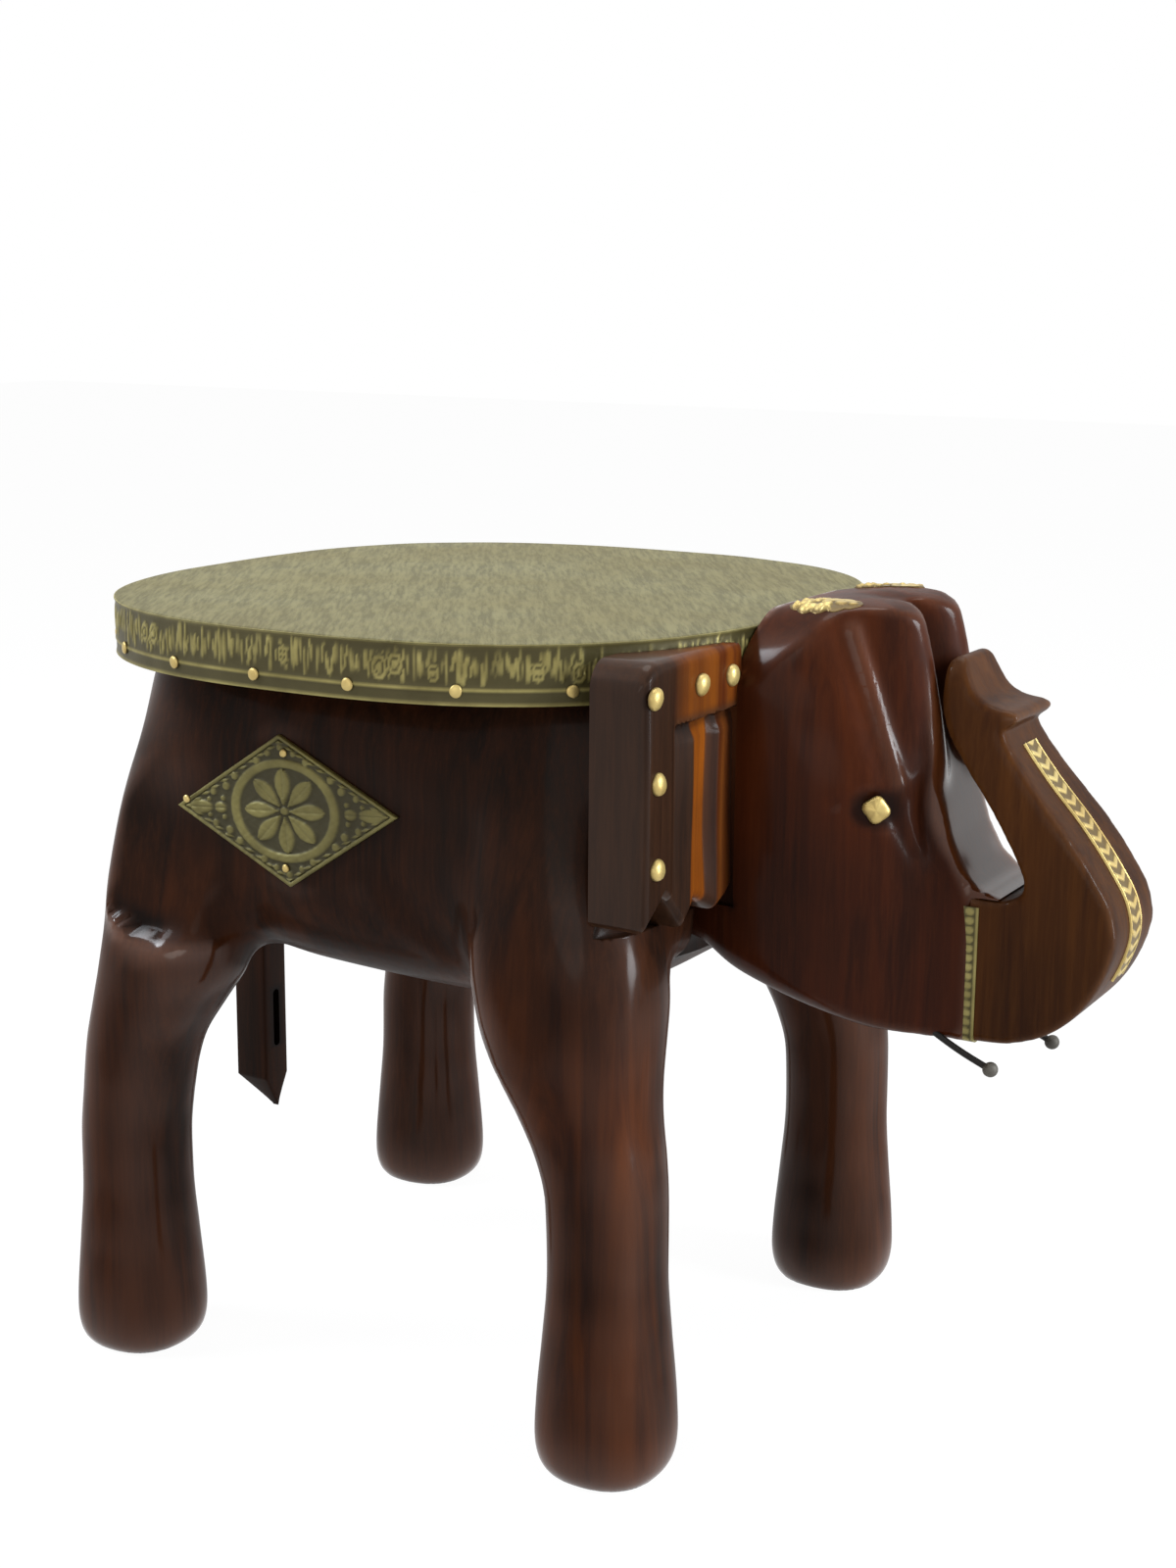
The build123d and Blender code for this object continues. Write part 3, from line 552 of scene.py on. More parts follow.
# Brass plaque on each flank: a lozenge with a ring and an eight-petalled flower. Leaves are given by their middle
# along the plaque and their half sizes, dots by their place and size in one quarter.
plaque = {"place": (-90.75, 230.0), "halfLong": 51.5, "halfTall": 29.0, "tilt": 4.3, "seat": 105.4, "thick": 0.55,
          "steps": 121, "relief": 0.9, "ring": 19.0, "ringWide": 1.7, "petals": 8, "petalFrom": 2.2, "petalTo": 16.2,
          "petalWide": 3.6, "leaves": [(40, 7.0, 3.2), (30.5, 3.4, 2.6), (-40, 7.0, 3.2), (-30.5, 3.4, 2.6)],
          "dots": [(27, 8.5, 2.1), (33.5, 6.0, 1.7), (22.5, 12.5, 2.0), (11.5, 18.8, 1.9), (6.0, 21.8, 1.6),
                   (0.0, 24.2, 1.7), (29.0, 3.6, 1.3), (36.0, 3.0, 1.2)], "scallops": 5.5}
tilt = radians(plaque["tilt"])
leftCorner, topCorner = np.array((cos(tilt), sin(tilt))), np.array((-sin(tilt), cos(tilt)))

# Body and legs: one carved block, blended where they meet and then parted at the flat joints
legArris = [(52, -122, 206), (63, -121, 167), (68.5, -118, 129), (66.5, -116, 79), (68, -118, 40)]
carcass = {
    # x, half width, underside
    "body": [(-181.25, 62, 205), (-176, 80, 193), (-160, 97, 176), (-134, 104.5, 163), (-95, 106.5, 156.5),
             (-35, 107, 155), (0, 106.5, 157), (30, 103, 167), (47.75, 98, 180), (58, 96, 185)],
    "bodyTop": 304.0, "bodyPower": 3.3, "bodySides": 96, "legSides": 64,
    "footLevels": (-2.6, -1.4, 0, 1.4, 3, 5, 8), "legLevels": np.linspace(11, 292, 95),
    # height, centre x, centre y, half length, half width, squareness
    "front": [(-2.6, 45.7, 98.3, 17.5, 17.5, 2.4), (0.2, 45.7, 98.3, 21.8, 21.8, 2.4),
              (3, 45.7, 98.3, 23.6, 23.6, 2.4), (12, 45.7, 98.3, 25.3, 25.3, 2.4),
              (27, 45.7, 98.3, 24.5, 24.5, 2.5), (50, 45.7, 98.3, 22.2, 22.2, 2.7),
              (77, 45.7, 98.3, 20.2, 20.2, 2.9), (103, 45.2, 98.3, 20.5, 20.4, 2.9),
              (118, 42.6, 98, 21.7, 21.4, 2.9), (132, 38.2, 97.5, 23.8, 23, 2.9), (146, 33.6, 96.9, 27.4, 25.4, 2.9),
              (158, 30.2, 96, 31.2, 27.4, 2.8), (176, 27.2, 94, 34.4, 28.9, 2.7), (196, 24.5, 91.8, 35.6, 29.8, 2.5),
              (238, 16.5, 83.8, 35, 29.3, 2.3), (292, 8.75, 72, 32, 27, 2.3)],
    "rear": [(-2.6, -171.1, 103.9, 17.2, 17.2, 2.4), (0.2, -171.1, 103.9, 21.4, 21.4, 2.4),
             (3, -171.1, 103.9, 23.4, 23.4, 2.4), (12, -171.1, 103.9, 24.8, 24.8, 2.4),
             (42, -171.1, 103.9, 22.4, 22.4, 2.6), (68, -171.1, 103.9, 20.2, 20.2, 2.8),
             (85, -171.1, 103.9, 19.9, 19.9, 2.9), (110, -168.2, 103.9, 20.2, 20.2, 2.9),
             (127, -165.1, 103.4, 21.2, 21.1, 2.9), (145, -158.4, 101, 24.8, 23.8, 2.8),
             (160, -153, 98, 28.6, 26.6, 2.6), (176, -151, 94.2, 30.6, 28.2, 2.4), (196, -150, 90.2, 32, 29.8, 2.3),
             (229, -147, 82.8, 32.4, 30.4, 2.3), (258, -142, 76, 31.6, 29.4, 2.3), (292, -137, 68, 31, 28.7, 2.3)],
    "voxel": 2.3, "blendReach": 17.0, "blendRounds": 90,
    # ledge where each rear leg comes out from under the flank
    "ledge": [(-176, -128, 168), (-160, -128, 171), (-140, -122, 175.5), (-122, -110, 178), (-112, -96, 178),
              (-108, -82, 176)], "ledgeDeep": 4.2, "ledgeTall": 12,
    "marks": [
        # crease behind the shoulder, and the ridge in front of it
        (-2.6, 7, (0, 0.35), None, [(-52, -107, 228), (-40, -107, 205), (-22, -108, 184), (-8, -108, 168)]),
        (1.8, 9, (0, 0.3), (0.75, 1), [(-22, -108, 240), (-8, -116, 205), (4, -122, 180), (16, -123, 150)]),
        # arrises down the outer corners of each front leg
        (2.4, 4.2, None, (0.7, 1), legArris),
        (1.2, 4.5, None, (0.6, 1), [(8, -121, 150), (16, -118, 128), (22, -116, 100), (23.5, -116, 60)])],
    # painted highlights, as rubbed lacquer: the haunch top, the ledge over each rear leg and the front legs' arrises
    "rubbedAndHighlit": [(0.3, 15, [(-158, -92, 266), (-146, -100, 240)]), (0.7, 5, [(-150, -127, 168), (-126, -116, 172)]),
               (0.6, 6, legArris)]}

bodyShape = smoothTable(carcass["body"])
rings = []
for x in (joints["rump"], joints["rump"] + 0.85, *np.linspace(-178.5, 58, 60)):
    halfWide, under = bodyShape(x)[0]
    rings.append(uprightRing(x, halfWide, under, carcass["bodyTop"], carcass["bodyPower"], carcass["bodySides"]))
bodyBlock = skinRings("bodyBlock", rings)
legBlocks = []
for end, side in (("front", -1), ("front", 1), ("rear", -1), ("rear", 1)):
    legShape = smoothTable(carcass[end])
    rings = []
    for z in (*carcass["footLevels"], *carcass["legLevels"]):
        x, y, halfLong, halfWide, power = legShape(z)[0]
        rings.append(levelRing(z, x, side * y, halfLong, halfWide, power, carcass["legSides"]))
    legBlocks.append(skinRings("legBlock", rings))

bodyTree, legTrees = treeOf(bodyBlock), [treeOf(block) for block in legBlocks]
carcassBlock = remeshed(joined("carcass", [bodyBlock, *legBlocks]), carcass["voxel"])
points, reach = readPoints(carcassBlock), carcass["blendReach"]
# the blend takes points near both the body and a leg, and no body lies near the lower half of the legs
toBody = np.array([bodyTree.find_nearest(Vector(p * mm))[3] / mm for p in points])
toLegs = np.min([[tree.find_nearest(Vector(p * mm))[3] / mm if abs(p[2] - 200) < 110 else 99 for p in points]
                 for tree in legTrees], axis=0)
softened(carcassBlock, carcass["blendRounds"], 1 - fade(np.maximum(toBody, toLegs), reach * 0.25, reach))
softened(carcassBlock, 4)
print("body and legs blended")

points, normals = readPoints(carcassBlock), readNormals(carcassBlock)
mirrored, ledge = toRightSide(points), np.array(carcass["ledge"])
push = chiselPush(mirrored, carcass["marks"])
gap, along = distanceToLine(mirrored, ledge)
above = points[:, 2] - np.interp(points[:, 0], ledge[:, 0], ledge[:, 2])
push -= carcass["ledgeDeep"] * np.exp(-(np.maximum(above, 0) / carcass["ledgeTall"]) ** 2) * fade(above, -3.5, 1.0) \
    * fade(along, 0.12, 0.48) * (1 - fade(along, 0.62, 0.85)) * (1 - fade(gap, 9, 22))
writePoints(carcassBlock, points + normals * push[:, None])
softened(carcassBlock, 2)
# flat bed under each brass plaque, easing into the flank over shares of the plaque's own size
bed = {"under": 0.3, "rise": 9, "from": 1.03, "to": 3.0, "lowest": 176, "back": -178, "rounds": 26}
points = readPoints(carcassBlock)
offset = points[:, [0, 2]] - plaque["place"]
farOut = np.abs(offset @ leftCorner) / plaque["halfLong"] + np.abs(offset @ topCorner) / plaque["halfTall"]
limit = plaque["seat"] - bed["under"] + bed["rise"] * fade(farOut, bed["from"], bed["to"])
limit[farOut > bed["to"]] = past["beside"]
near = (points[:, 2] > bed["lowest"]) & (points[:, 0] < 0) & (points[:, 0] > bed["back"])
points[near, 1] = np.clip(points[near, 1], -limit[near], limit[near])
writePoints(carcassBlock, points)
softened(carcassBlock, bed["rounds"], near * fade(farOut, 1.05, 1.5) * (1 - fade(farOut, 2.2, bed["to"])))

points, normals = readPoints(carcassBlock), readNormals(carcassBlock)
# painted shade in the hollows and painted highlights on edges and along the lit lines, partly as dark lacquer and
# wear
paintCarving(carcassBlock, 1.1, 1.3, 8)
paintHighlightAlong(carcassBlock, carcass["rubbedAndHighlit"])
# warmer and lighter low on the legs, on outward faces and towards the front: partly the lacquer's own tone, partly
# painted light on the lit faces and painted shade on the inner faces
facing = normals[:, 1] * np.sign(points[:, 1])
paint(carcassBlock, "warm", (1 - fade(points[:, 2], 140, 232)) * (0.35 + 0.65 * fade(facing, -0.5, 0.6))
      * (0.45 + 0.55 * fade(points[:, 0], -60, 0)))


# A block's normals and paint, kept for the pieces that it is parted into
class Shading:
    def __init__(self, block):
        self.normals = readNormals(block)
        self.paint = {name: readPaint(block, name) for name in ("hollow", "worn", "warm")}
        self.tree = KDTree(len(self.normals))
        for i, point in enumerate(readPoints(block)):
            self.tree.insert(Vector(point), i)
        self.tree.balance()

    def normalAt(self, point):
        found = self.tree.find_n(Vector(point), 4)
        blend = sum((self.normals[i] / (gap + 0.05) for _, i, gap in found), np.zeros(3))
        return blend / np.linalg.norm(blend)

    def paintAt(self, name, point):
        return self.paint[name][self.tree.find(Vector(point))[1]]


def seamless(piece, level, shading):
    # near a flat joint the surface keeps the shading of the block before it was parted
    mesh, points = piece.data, readPoints(piece)
    wanted = np.empty(len(mesh.loops) * 3, np.float32)
    mesh.corner_normals.foreach_get("vector", wanted)
    wanted = wanted.reshape(-1, 3)
    for polygon in mesh.polygons:
        gaps = [abs(points[v][2] - level) for v in polygon.vertices]
        if max(gaps) < 0.02 and abs(polygon.normal.z) > 0.99:
            for loop in polygon.loop_indices:
                wanted[loop] = polygon.normal
        elif min(gaps) < 3.5:
            for loop, v in zip(polygon.loop_indices, polygon.vertices):
                wanted[loop] = shading.normalAt(points[v])
    mesh.normals_split_custom_set([tuple(n) for n in wanted])
    atJoint = np.nonzero(np.abs(points[:, 2] - level) < 0.3)[0]
    for name in shading.paint:
        values = readPaint(piece, name)
        values[atJoint] = [shading.paintAt(name, points[v]) for v in atJoint]
        paint(piece, name, values)


carcassShading = Shading(carcassBlock)
allRound = (-past["beside"], -past["beside"]), (past["beside"], past["beside"])
carcassPieces = [("torsoCarved", "torso", "DIFFERENCE", [
    ((*allRound[0], past["below"]), (*allRound[1], joints["leg"])),
    ((*allRound[0], seat["under"]), (*allRound[1], past["above"])),
    ((joints["neck"], -past["beside"], joints["earBottom"]), (*allRound[1], past["above"])),
    ((joints["neck"], -60, 0), (past["beside"], 60, past["above"]))])]
for end, backX, frontX in (("front", -40, 200), ("rear", -260, -80)):
    for side, lowY, highY in (("Right", -200, 0), ("Left", 0, 200)):
        carcassPieces.append((f"{end}Leg{side}", f"leg_{end}_{side.lower()}", "INTERSECT",
                              [((backX, lowY, 0), (frontX, highY, joints["leg"]))]))
for name, node, operation, blocks in carcassPieces:
    piece = placed(name, carcassBlock.data.copy())
    carved(piece, [blockTool(low, high) for low, high in blocks], operation)
    dressed(piece, bodyWood, node)
    seamless(piece, joints["leg"], carcassShading)
bpy.data.objects.remove(carcassBlock)
print("torso and legs carved")

# Head: level slices give the side, the brow and the forehead's two lobes, long slices give crown and jaw
browArris = [(105, -34, 306), (111.5, -34, 288), (117.5, -34, 271), (123.6, -34, 254)]
headShape = {
    # height, then x and half width from the neck to the middle of the forehead
    "level": [(150, 44, 50, 75, 50.5, 100, 47, 118, 40, 132, 31.5, 141, 26, 148.7, 23, 148.7, 12, 148.7, 0),
              (190, 44, 50, 75, 52, 100, 49, 118, 42, 132, 32.5, 141, 26.5, 148.7, 23, 148.7, 12, 148.7, 0),
              (210, 44, 50, 75, 52.8, 100, 50, 118, 43.5, 131, 34, 139, 27, 147, 22.5, 148.7, 12, 148.7, 0),
              (222, 44, 50, 75, 53, 98, 51, 114, 45.5, 126, 37, 134, 29, 141, 22, 144, 12, 144, 0),
              (234, 44, 50, 75, 53, 96, 51, 111, 46.3, 122, 40, 129, 32, 134, 23, 137, 12, 137, 0),
              (245, 44, 50, 75, 53, 94, 51, 109, 47, 119, 42.5, 126.5, 33, 131.5, 24, 134, 15, 133, 0),
              (256, 44, 50, 75, 53, 92, 51, 105, 47.5, 115, 43, 124, 33.5, 131.5, 25, 134.5, 16, 129.5, 0),
              (270, 44, 50, 75, 53, 88, 51.3, 98, 48, 109, 43.3, 118, 34, 128, 26, 133, 17, 125.5, 0),
              (285, 44, 50, 75, 53, 84, 51.5, 93, 48.5, 103.5, 43.3, 113, 34, 124, 26.5, 130.3, 17, 120.5, 0),
              (300, 44, 50, 72, 53, 80, 51.5, 88, 48.5, 98, 42.8, 107, 34, 119.5, 27, 127, 17, 115, 0),
              (322, 44, 50, 70, 53, 76, 51.5, 84, 48.5, 92, 42.5, 100, 34, 111.5, 27, 120.5, 17, 108, 0)],
    # x, half width, underside, top
    "long": [(44, 55, 186, 306.5), (52, 55, 184, 307), (66, 55, 175, 309.5), (84, 55, 168.5, 312.5),
             (98, 54, 164.5, 314), (112, 53, 161.5, 313.7), (120, 50, 160, 311.8), (127, 48, 159.6, 306.5),
             (136, 46, 159, 298), (148.7, 40, 158.2, 290)],
    "longPower": 5.5, "levels": 70, "levelSides": 64, "slices": 50, "sliceSides": 96, "voxel": 1.7, "rounds": 5,
    # ridge of the trunk, from between the lobes down to the joint: x, height, half width
    "ridge": [(121, 268, 19.5), (127, 263, 20.2), (131.5, 255, 21.0), (135.5, 243, 21.6), (139, 231, 22.0),
              (144, 221, 22.2), (150, 215, 22.4), (159.75, 213, 22.4), (159.75, 212.1, 22.4), (148.6, 212.1, 22.8),
              (148.6, 175, 22.8), (125, 175, 22.8), (118, 230, 21.0)],
    "marks": [
        # fold in front of the eye, and the corner behind it
        (-1.9, 2.3, None, None, [(126, -37, 239), (129, -35.5, 233), (131.5, -33.5, 227)]),
        (-0.8, 2.0, None, None, [(111, -46, 247), (106, -48, 246)]),
        # valley between the lobes, carried back over the crown
        (-2.4, 6.5, (0.05, 0.45), (0.9, 1), [(84, 0, 314), (98, 0, 314), (110, 0, 309), (114.5, 0, 300),
                                             (124, 0, 271)]),
        # arris of the brow, and the fold beside the trunk's root
        (2.0, 3.0, None, (0.85, 1), [*browArris, (127, -31, 246)]),
        (-1.8, 4.0, None, (0.8, 1), [(127, -24, 262), (129.5, -24.5, 247), (132, -25, 231), (136, -25, 218)])],
    # painted highlights, as rubbed lacquer, along the brow's arris and the crown's near edge
    "rubbedAndHighlit": [(0.5, 3.0, browArris), (0.5, 6.0, [(70, -50, 299), (87, -50, 305), (107, -49, 309)])]}
eye = {"place": (119.75, -43.2, 244.0), "along": Vector((0.95, 0.32, 0)).normalized(), "long": 10.0, "tall": 7.0,
       "through": 14.0, "depth": 2.2}


def eyeRing(points):
    # 1 on the rim of the almond cut round an eye, less inside it
    offset = toRightSide(points) - eye["place"]
    return np.sqrt((offset @ np.array(eye["along"]) / eye["long"]) ** 2 + (offset[:, 2] / eye["tall"]) ** 2
                   + (np.abs(offset[:, 1]) / eye["through"]) ** 4)


levelShape, longShape = smoothTable(headShape["level"]), smoothTable(headShape["long"])
rings = []
for z in np.linspace(150, 322, headShape["levels"]):
    outline = levelShape(z)[0].reshape(-1, 2)
    run = runAlong(outline)
    side = smoothTable(np.column_stack([run, outline]))(np.linspace(0, run[-1], headShape["levelSides"]))
    ring = np.concatenate([side, (side * (1, -1))[::-1][1:]])
    rings.append(np.column_stack([ring, np.full(len(ring), z)]))
slices = [uprightRing(x, *longShape(x)[0], headShape["longPower"], headShape["sliceSides"])
          for x in np.linspace(44, 148.7, headShape["slices"])]
headBlock = carved(skinRings("headBlock", rings), [skinRings("tool", slices)], "INTERSECT")
ridge = skinRings("ridge", [[(x, side * half, z) for x, z, half in headShape["ridge"]] for side in (-1, 1)])
headBlock = remeshed(joined("headCarved", [headBlock, ridge]), headShape["voxel"])
off = 1 - fade(readPoints(headBlock)[:, 0], 143, 147.5)  # 0 where the trunk is joined, which stays as it is
softened(headBlock, headShape["rounds"], off)
points, normals = readPoints(headBlock), readNormals(headBlock)
push = chiselPush(toRightSide(points), headShape["marks"]) - eye["depth"] * (1 - fade(eyeRing(points), 0.55, 1.15))
points += normals * (push * off)[:, None]
# the crown falls away beside, more so towards the ears
points[:, 2] -= np.interp(points[:, 0], (60, 85, 105, 125), (11, 8, 4, 2)) * fade(np.abs(points[:, 1]), 27, 53) \
    * fade(points[:, 2], 275, 300)
writePoints(headBlock, points)
softened(headBlock, 1, off)
carved(headBlock, [seatTool(), blockTool((0, -past["beside"], past["below"]),
                                         (joints["neck"], past["beside"], past["above"]))])
for near, far in ((-past["beside"], -joints["earSeat"]), (joints["earSeat"], past["beside"])):
    carved(headBlock, [blockTool((joints["neck"] - 20, near, joints["earBottom"]),
                                 (joints["earFront"], far, past["above"]))])
# painted shade in the carved hollows, edges painted lighter as wear and painted highlight, and painted highlights
# along the brow and crown
paintCarving(headBlock, 0.9, 0.9, 5)
paintHighlightAlong(headBlock, headShape["rubbedAndHighlit"])
# painted highlight on the face of the trunk's root, painted shade with dark lacquer round the eyes, and the cheeks
# warmer above
points = readPoints(headBlock)
x, y, z = points[:, 0], np.abs(points[:, 1]), points[:, 2]
rootHighlight = fade(x, 127, 133) * (x < 162) * (1 - fade(y, 21, 24)) * fade(z, 205, 214)
paint(headBlock, "hollow", np.maximum(readPaint(headBlock, "hollow"), 0.85 * (1 - fade(eyeRing(points), 0.6, 1.3))))
paint(headBlock, "worn", np.maximum(readPaint(headBlock, "worn"), 0.8 * rootHighlight))
paint(headBlock, "warm", fade(z, 215, 262) * (1 - fade(x, 112, 128)) * 0.55)
dressed(headBlock, headWood, "head", 50)
print("head carved")

# Trunk: a flat-sided curl with softened arrises, narrowing to the knob. Its lines are in shares of its reach and
# height, and its taper is in height and half thickness.
trunkShape = {
    "reach": 52.5, "under": 159.0, "top": 297.0, "half": 23.0, "voxel": 1.5, "rounds": 7,
    "outer": [(0, 0), (0.29, 0.008), (0.548, 0.045), (0.776, 0.12), (0.932, 0.22), (1, 0.33), (0.962, 0.395),
              (0.848, 0.468), (0.639, 0.574), (0.353, 0.697), (0.17, 0.79), (0.13, 0.818)],
    "lip": [(0.25, 0.85), (0.22, 0.868)],
    "mouth": [(0.1, 0.872), (-0.06, 0.897), (-0.14, 0.945), (-0.21, 0.995), (-0.285, 0.985), (-0.315, 0.93),
              (-0.27, 0.815), (-0.14, 0.735), (0.09, 0.62), (0.28, 0.505), (0.36, 0.44)],
    "inner": (0.35, 0.41), "root": [(160.75, 212), (140, 212), (140, 159)],
    "taper": [(150, 23), (232, 23), (255, 21), (272, 19), (284, 17.4), (291, 15.5), (297, 11)]}


def trunkPoint(along, up):
    return (joints["trunk"] + along * trunkShape["reach"],
            trunkShape["under"] + up * (trunkShape["top"] - trunkShape["under"]))


outerLine = curveThrough([trunkPoint(*spot) for spot in trunkShape["outer"]], 90)
outline = [*outerLine, *[trunkPoint(*spot) for spot in trunkShape["lip"]],
           *curveThrough([trunkPoint(*spot) for spot in trunkShape["mouth"]], 90),
           trunkPoint(*trunkShape["inner"]), *trunkShape["root"]]
trunk = remeshed(skinRings("trunkCarved", [[(x, side * trunkShape["half"], z) for x, z in outline]
                                           for side in (-1, 1)]), trunkShape["voxel"])
points = readPoints(trunk)
softened(trunk, trunkShape["rounds"], fade(points[:, 0] + 30 * (points[:, 2] > 214), 148, 153))
points = readPoints(trunk)
points[:, 1] *= smoothTable(trunkShape["taper"])(points[:, 2])[:, 0] / trunkShape["half"]
writePoints(trunk, points)
carved(trunk, [blockTool((100, -60, 100), (joints["trunk"], 60, joints["trunkTop"]))])
# painted shade in the hollows, edges painted lighter as wear and painted highlight
paintCarving(trunk, 1.0, 1.1, 3)
paint(trunk, "warm", fade(np.abs(readNormals(trunk)[:, 1]), 0.45, 0.85))
dressed(trunk, trunkWood, "trunk", 50)
print("trunk carved")


def sideways(line):
    # the direction to one side of a flat line at each of its points
    way = np.gradient(line, axis=0)
    return np.stack([way[:, 1], -way[:, 0]], 1) / np.linalg.norm(way, axis=1)[:, None]


# Brass strip up the trunk's front, pressed with a row of leaves between two plain edges
strip = {"from": 0.355, "to": 0.955, "half": 5.8, "thick": 0.45, "sunk": 0.3, "leafPitch": 5.2, "leafLean": 0.55,
         "relief": 0.5, "long": 220, "wide": 25}
trunkTree, lineRun = treeOf(trunk), runAlong(outerLine)
stripAt = np.linspace(strip["from"], strip["to"], strip["long"]) * lineRun[-1]
stripLine = np.stack([np.interp(stripAt, lineRun, outerLine[:, k]) for k in (0, 1)], 1)
front, back = np.zeros((2, strip["long"], strip["wide"], 3))
relief = np.zeros((strip["long"], strip["wide"]))
for i, (at, (x, z), (awayX, awayZ)) in enumerate(zip(stripAt, stripLine, sideways(stripLine))):
    outwards = np.array((awayX, 0, awayZ))
    for j in range(strip["wide"]):
        y = (2 * j / (strip["wide"] - 1) - 1) * strip["half"]
        share = abs(y) / strip["half"]
        line = np.array((x, y, z))
        hit = trunkTree.ray_cast(Vector(line + outwards * 8) * mm, Vector(-outwards))[0]
        ground = np.array(hit) / mm if hit else line
        leaf = max(sin(2 * pi * (at / strip["leafPitch"] - strip["leafLean"] * share)), 0) ** 0.7
        relief[i, j] = (1 - fade(share, 0.66, 0.76)) * leaf * (1 - 0.3 * share) + 0.75 * fade(share, 0.82, 0.9)
        lift = strip["relief"] * relief[i, j] * (1 - fade(share, 0.96, 1) * 0.8)
        front[i, j] = ground + outwards * (strip["thick"] + lift)
        back[i, j] = ground - outwards * strip["sunk"]
piece = skinGrid("trunkStrip", front, back)
paintSheet(piece, relief, 0.0, 0.6)
dressed(piece, brightBrass, "trunk_front_strip", 60)

# Brass band round the trunk's joint, with a beaded middle
band = {"width": 6.5, "side": 23.0, "under": 159.0, "armTop": 209.0, "corner": 2.6, "thick": 0.55, "sunk": 0.5,
        "bead": 3.4, "relief": 0.4, "wide": 11}
corner = band["corner"]
path = [(-band["side"], z) for z in np.linspace(band["armTop"], band["under"] + corner, 70)]
path += [(-band["side"] + corner - corner * cos(t), band["under"] + corner - corner * sin(t))
         for t in np.linspace(0, pi / 2, 6)[1:]]
path += [(y, band["under"]) for y in np.linspace(-band["side"] + corner, 0, 34)[1:]]
path = np.array(path + [(-y, z) for y, z in path[-2::-1]])
front, back = np.zeros((2, len(path), band["wide"], 3))
relief = np.zeros((len(path), band["wide"]))
for i, (at, (y, z), (awayY, awayZ)) in enumerate(zip(runAlong(path), path, -sideways(path))):
    fromBead = (at % band["bead"] - band["bead"] / 2) / (band["bead"] * 0.45)
    for j in range(band["wide"]):
        across = 2 * j / (band["wide"] - 1) - 1
        bead = max(0, 1 - hypot(fromBead, across / 0.62)) ** 0.5
        relief[i, j] = max(bead, fade(abs(across), 0.74, 0.84) * 0.8)
        lift = band["thick"] + band["relief"] * relief[i, j] * (1 - 0.7 * (abs(across) > 0.95))
        x = joints["trunk"] + across * band["width"] / 2
        front[i, j] = (x, y + awayY * lift, z + awayZ * lift)
        back[i, j] = (x, y - awayY * band["sunk"], z - awayZ * band["sunk"])
piece = skinGrid("jointBand", front, back)
paintSheet(piece, relief, 0.0, 0.7)
dressed(piece, bandBrass, "trunk_joint_band", 60)
print("trunk's brass pressed")

# Ears: a plain rim and brow round steep pleats, with pointed tips below
ear = {"width": 68.0, "top": 301.0, "corner": 10.0, "thick": 22.0, "edge": 4.4, "brow": 278.0, "browEdge": 1.6,
       "browGroove": 2.4, "rimFrom": 47.5, "hewn": 0.35, "deepest": 9.0,
       # distance from the head, height of the lower edge
       "lower": [(0, 210), (5, 207.5), (14, 205.6), (17, 207.5), (23, 211), (29.8, 213), (33, 209), (36.9, 204.1),
                 (40, 208), (46, 215), (53.3, 219), (58, 215), (66, 209.1), (68, 211)],
       # distance from the head, depth of the pleats behind the rim
       "pleats": [(0, 3.0), (13.4, 0.9), (14.2, 0.9), (19.6, 3.9), (20.4, 3.9), (33, 0.8), (34, 0.8), (45.6, 3.6),
                  (46.8, 3.6), (48, 0.3), (50, 0.0), (68, 0.0)]}
lower, pleats, brow = np.array(ear["lower"]), np.array(ear["pleats"]), ear["brow"]
rounding = 1 - np.cos(np.linspace(0, pi / 2, 6))
outs = np.unique(np.concatenate([np.linspace(0, ear["width"], 110), pleats[:, 0], lower[:, 0],
                                 ear["width"] - ear["edge"] * rounding]))
ups = np.unique(np.concatenate([np.linspace(0, 1, 100), rounding * 0.035, 1 - rounding * 0.035]))


def earSunk(out, z, low, high):
    # how far the ear's face lies behind its rim
    inside = 1 - fade(z, brow - ear["browEdge"], brow)
    deep = np.interp(out, pleats[:, 0], pleats[:, 1]) * inside * (0.75 + 0.25 * fade(z, 212, 240))
    deep += ear["browGroove"] * inside * fade(z, brow - 8, brow - 1.8) * (out < ear["rimFrom"]) * (1 - deep / 5)
    rim = min(high - z, z - low, ear["width"] - out)
    if rim < ear["edge"]:
        deep += ear["edge"] - (ear["edge"] ** 2 - (ear["edge"] - rim) ** 2) ** 0.5
    deep += ear["hewn"] * sin(z / 13 + out / 9) * sin(out / 17)
    return min(max(deep, 0), ear["deepest"])


def earWarm(out, z):
    # the stain is rubbed to orange on the pleats near the head and on the brow
    pleat = (1 - fade(out, 33.2, 34)) * (1 - 0.85 * fade(out, 13.8, 15) * (1 - fade(out, 19, 20.2)))
    pleat *= (0.5 + 0.5 * fade(out, 13, 20)) * (1 - fade(z, brow - ear["browEdge"], brow))
    return max(pleat, 0.85 * fade(z, brow - 1, brow + 4) * (1 - fade(out, 36, 52)))


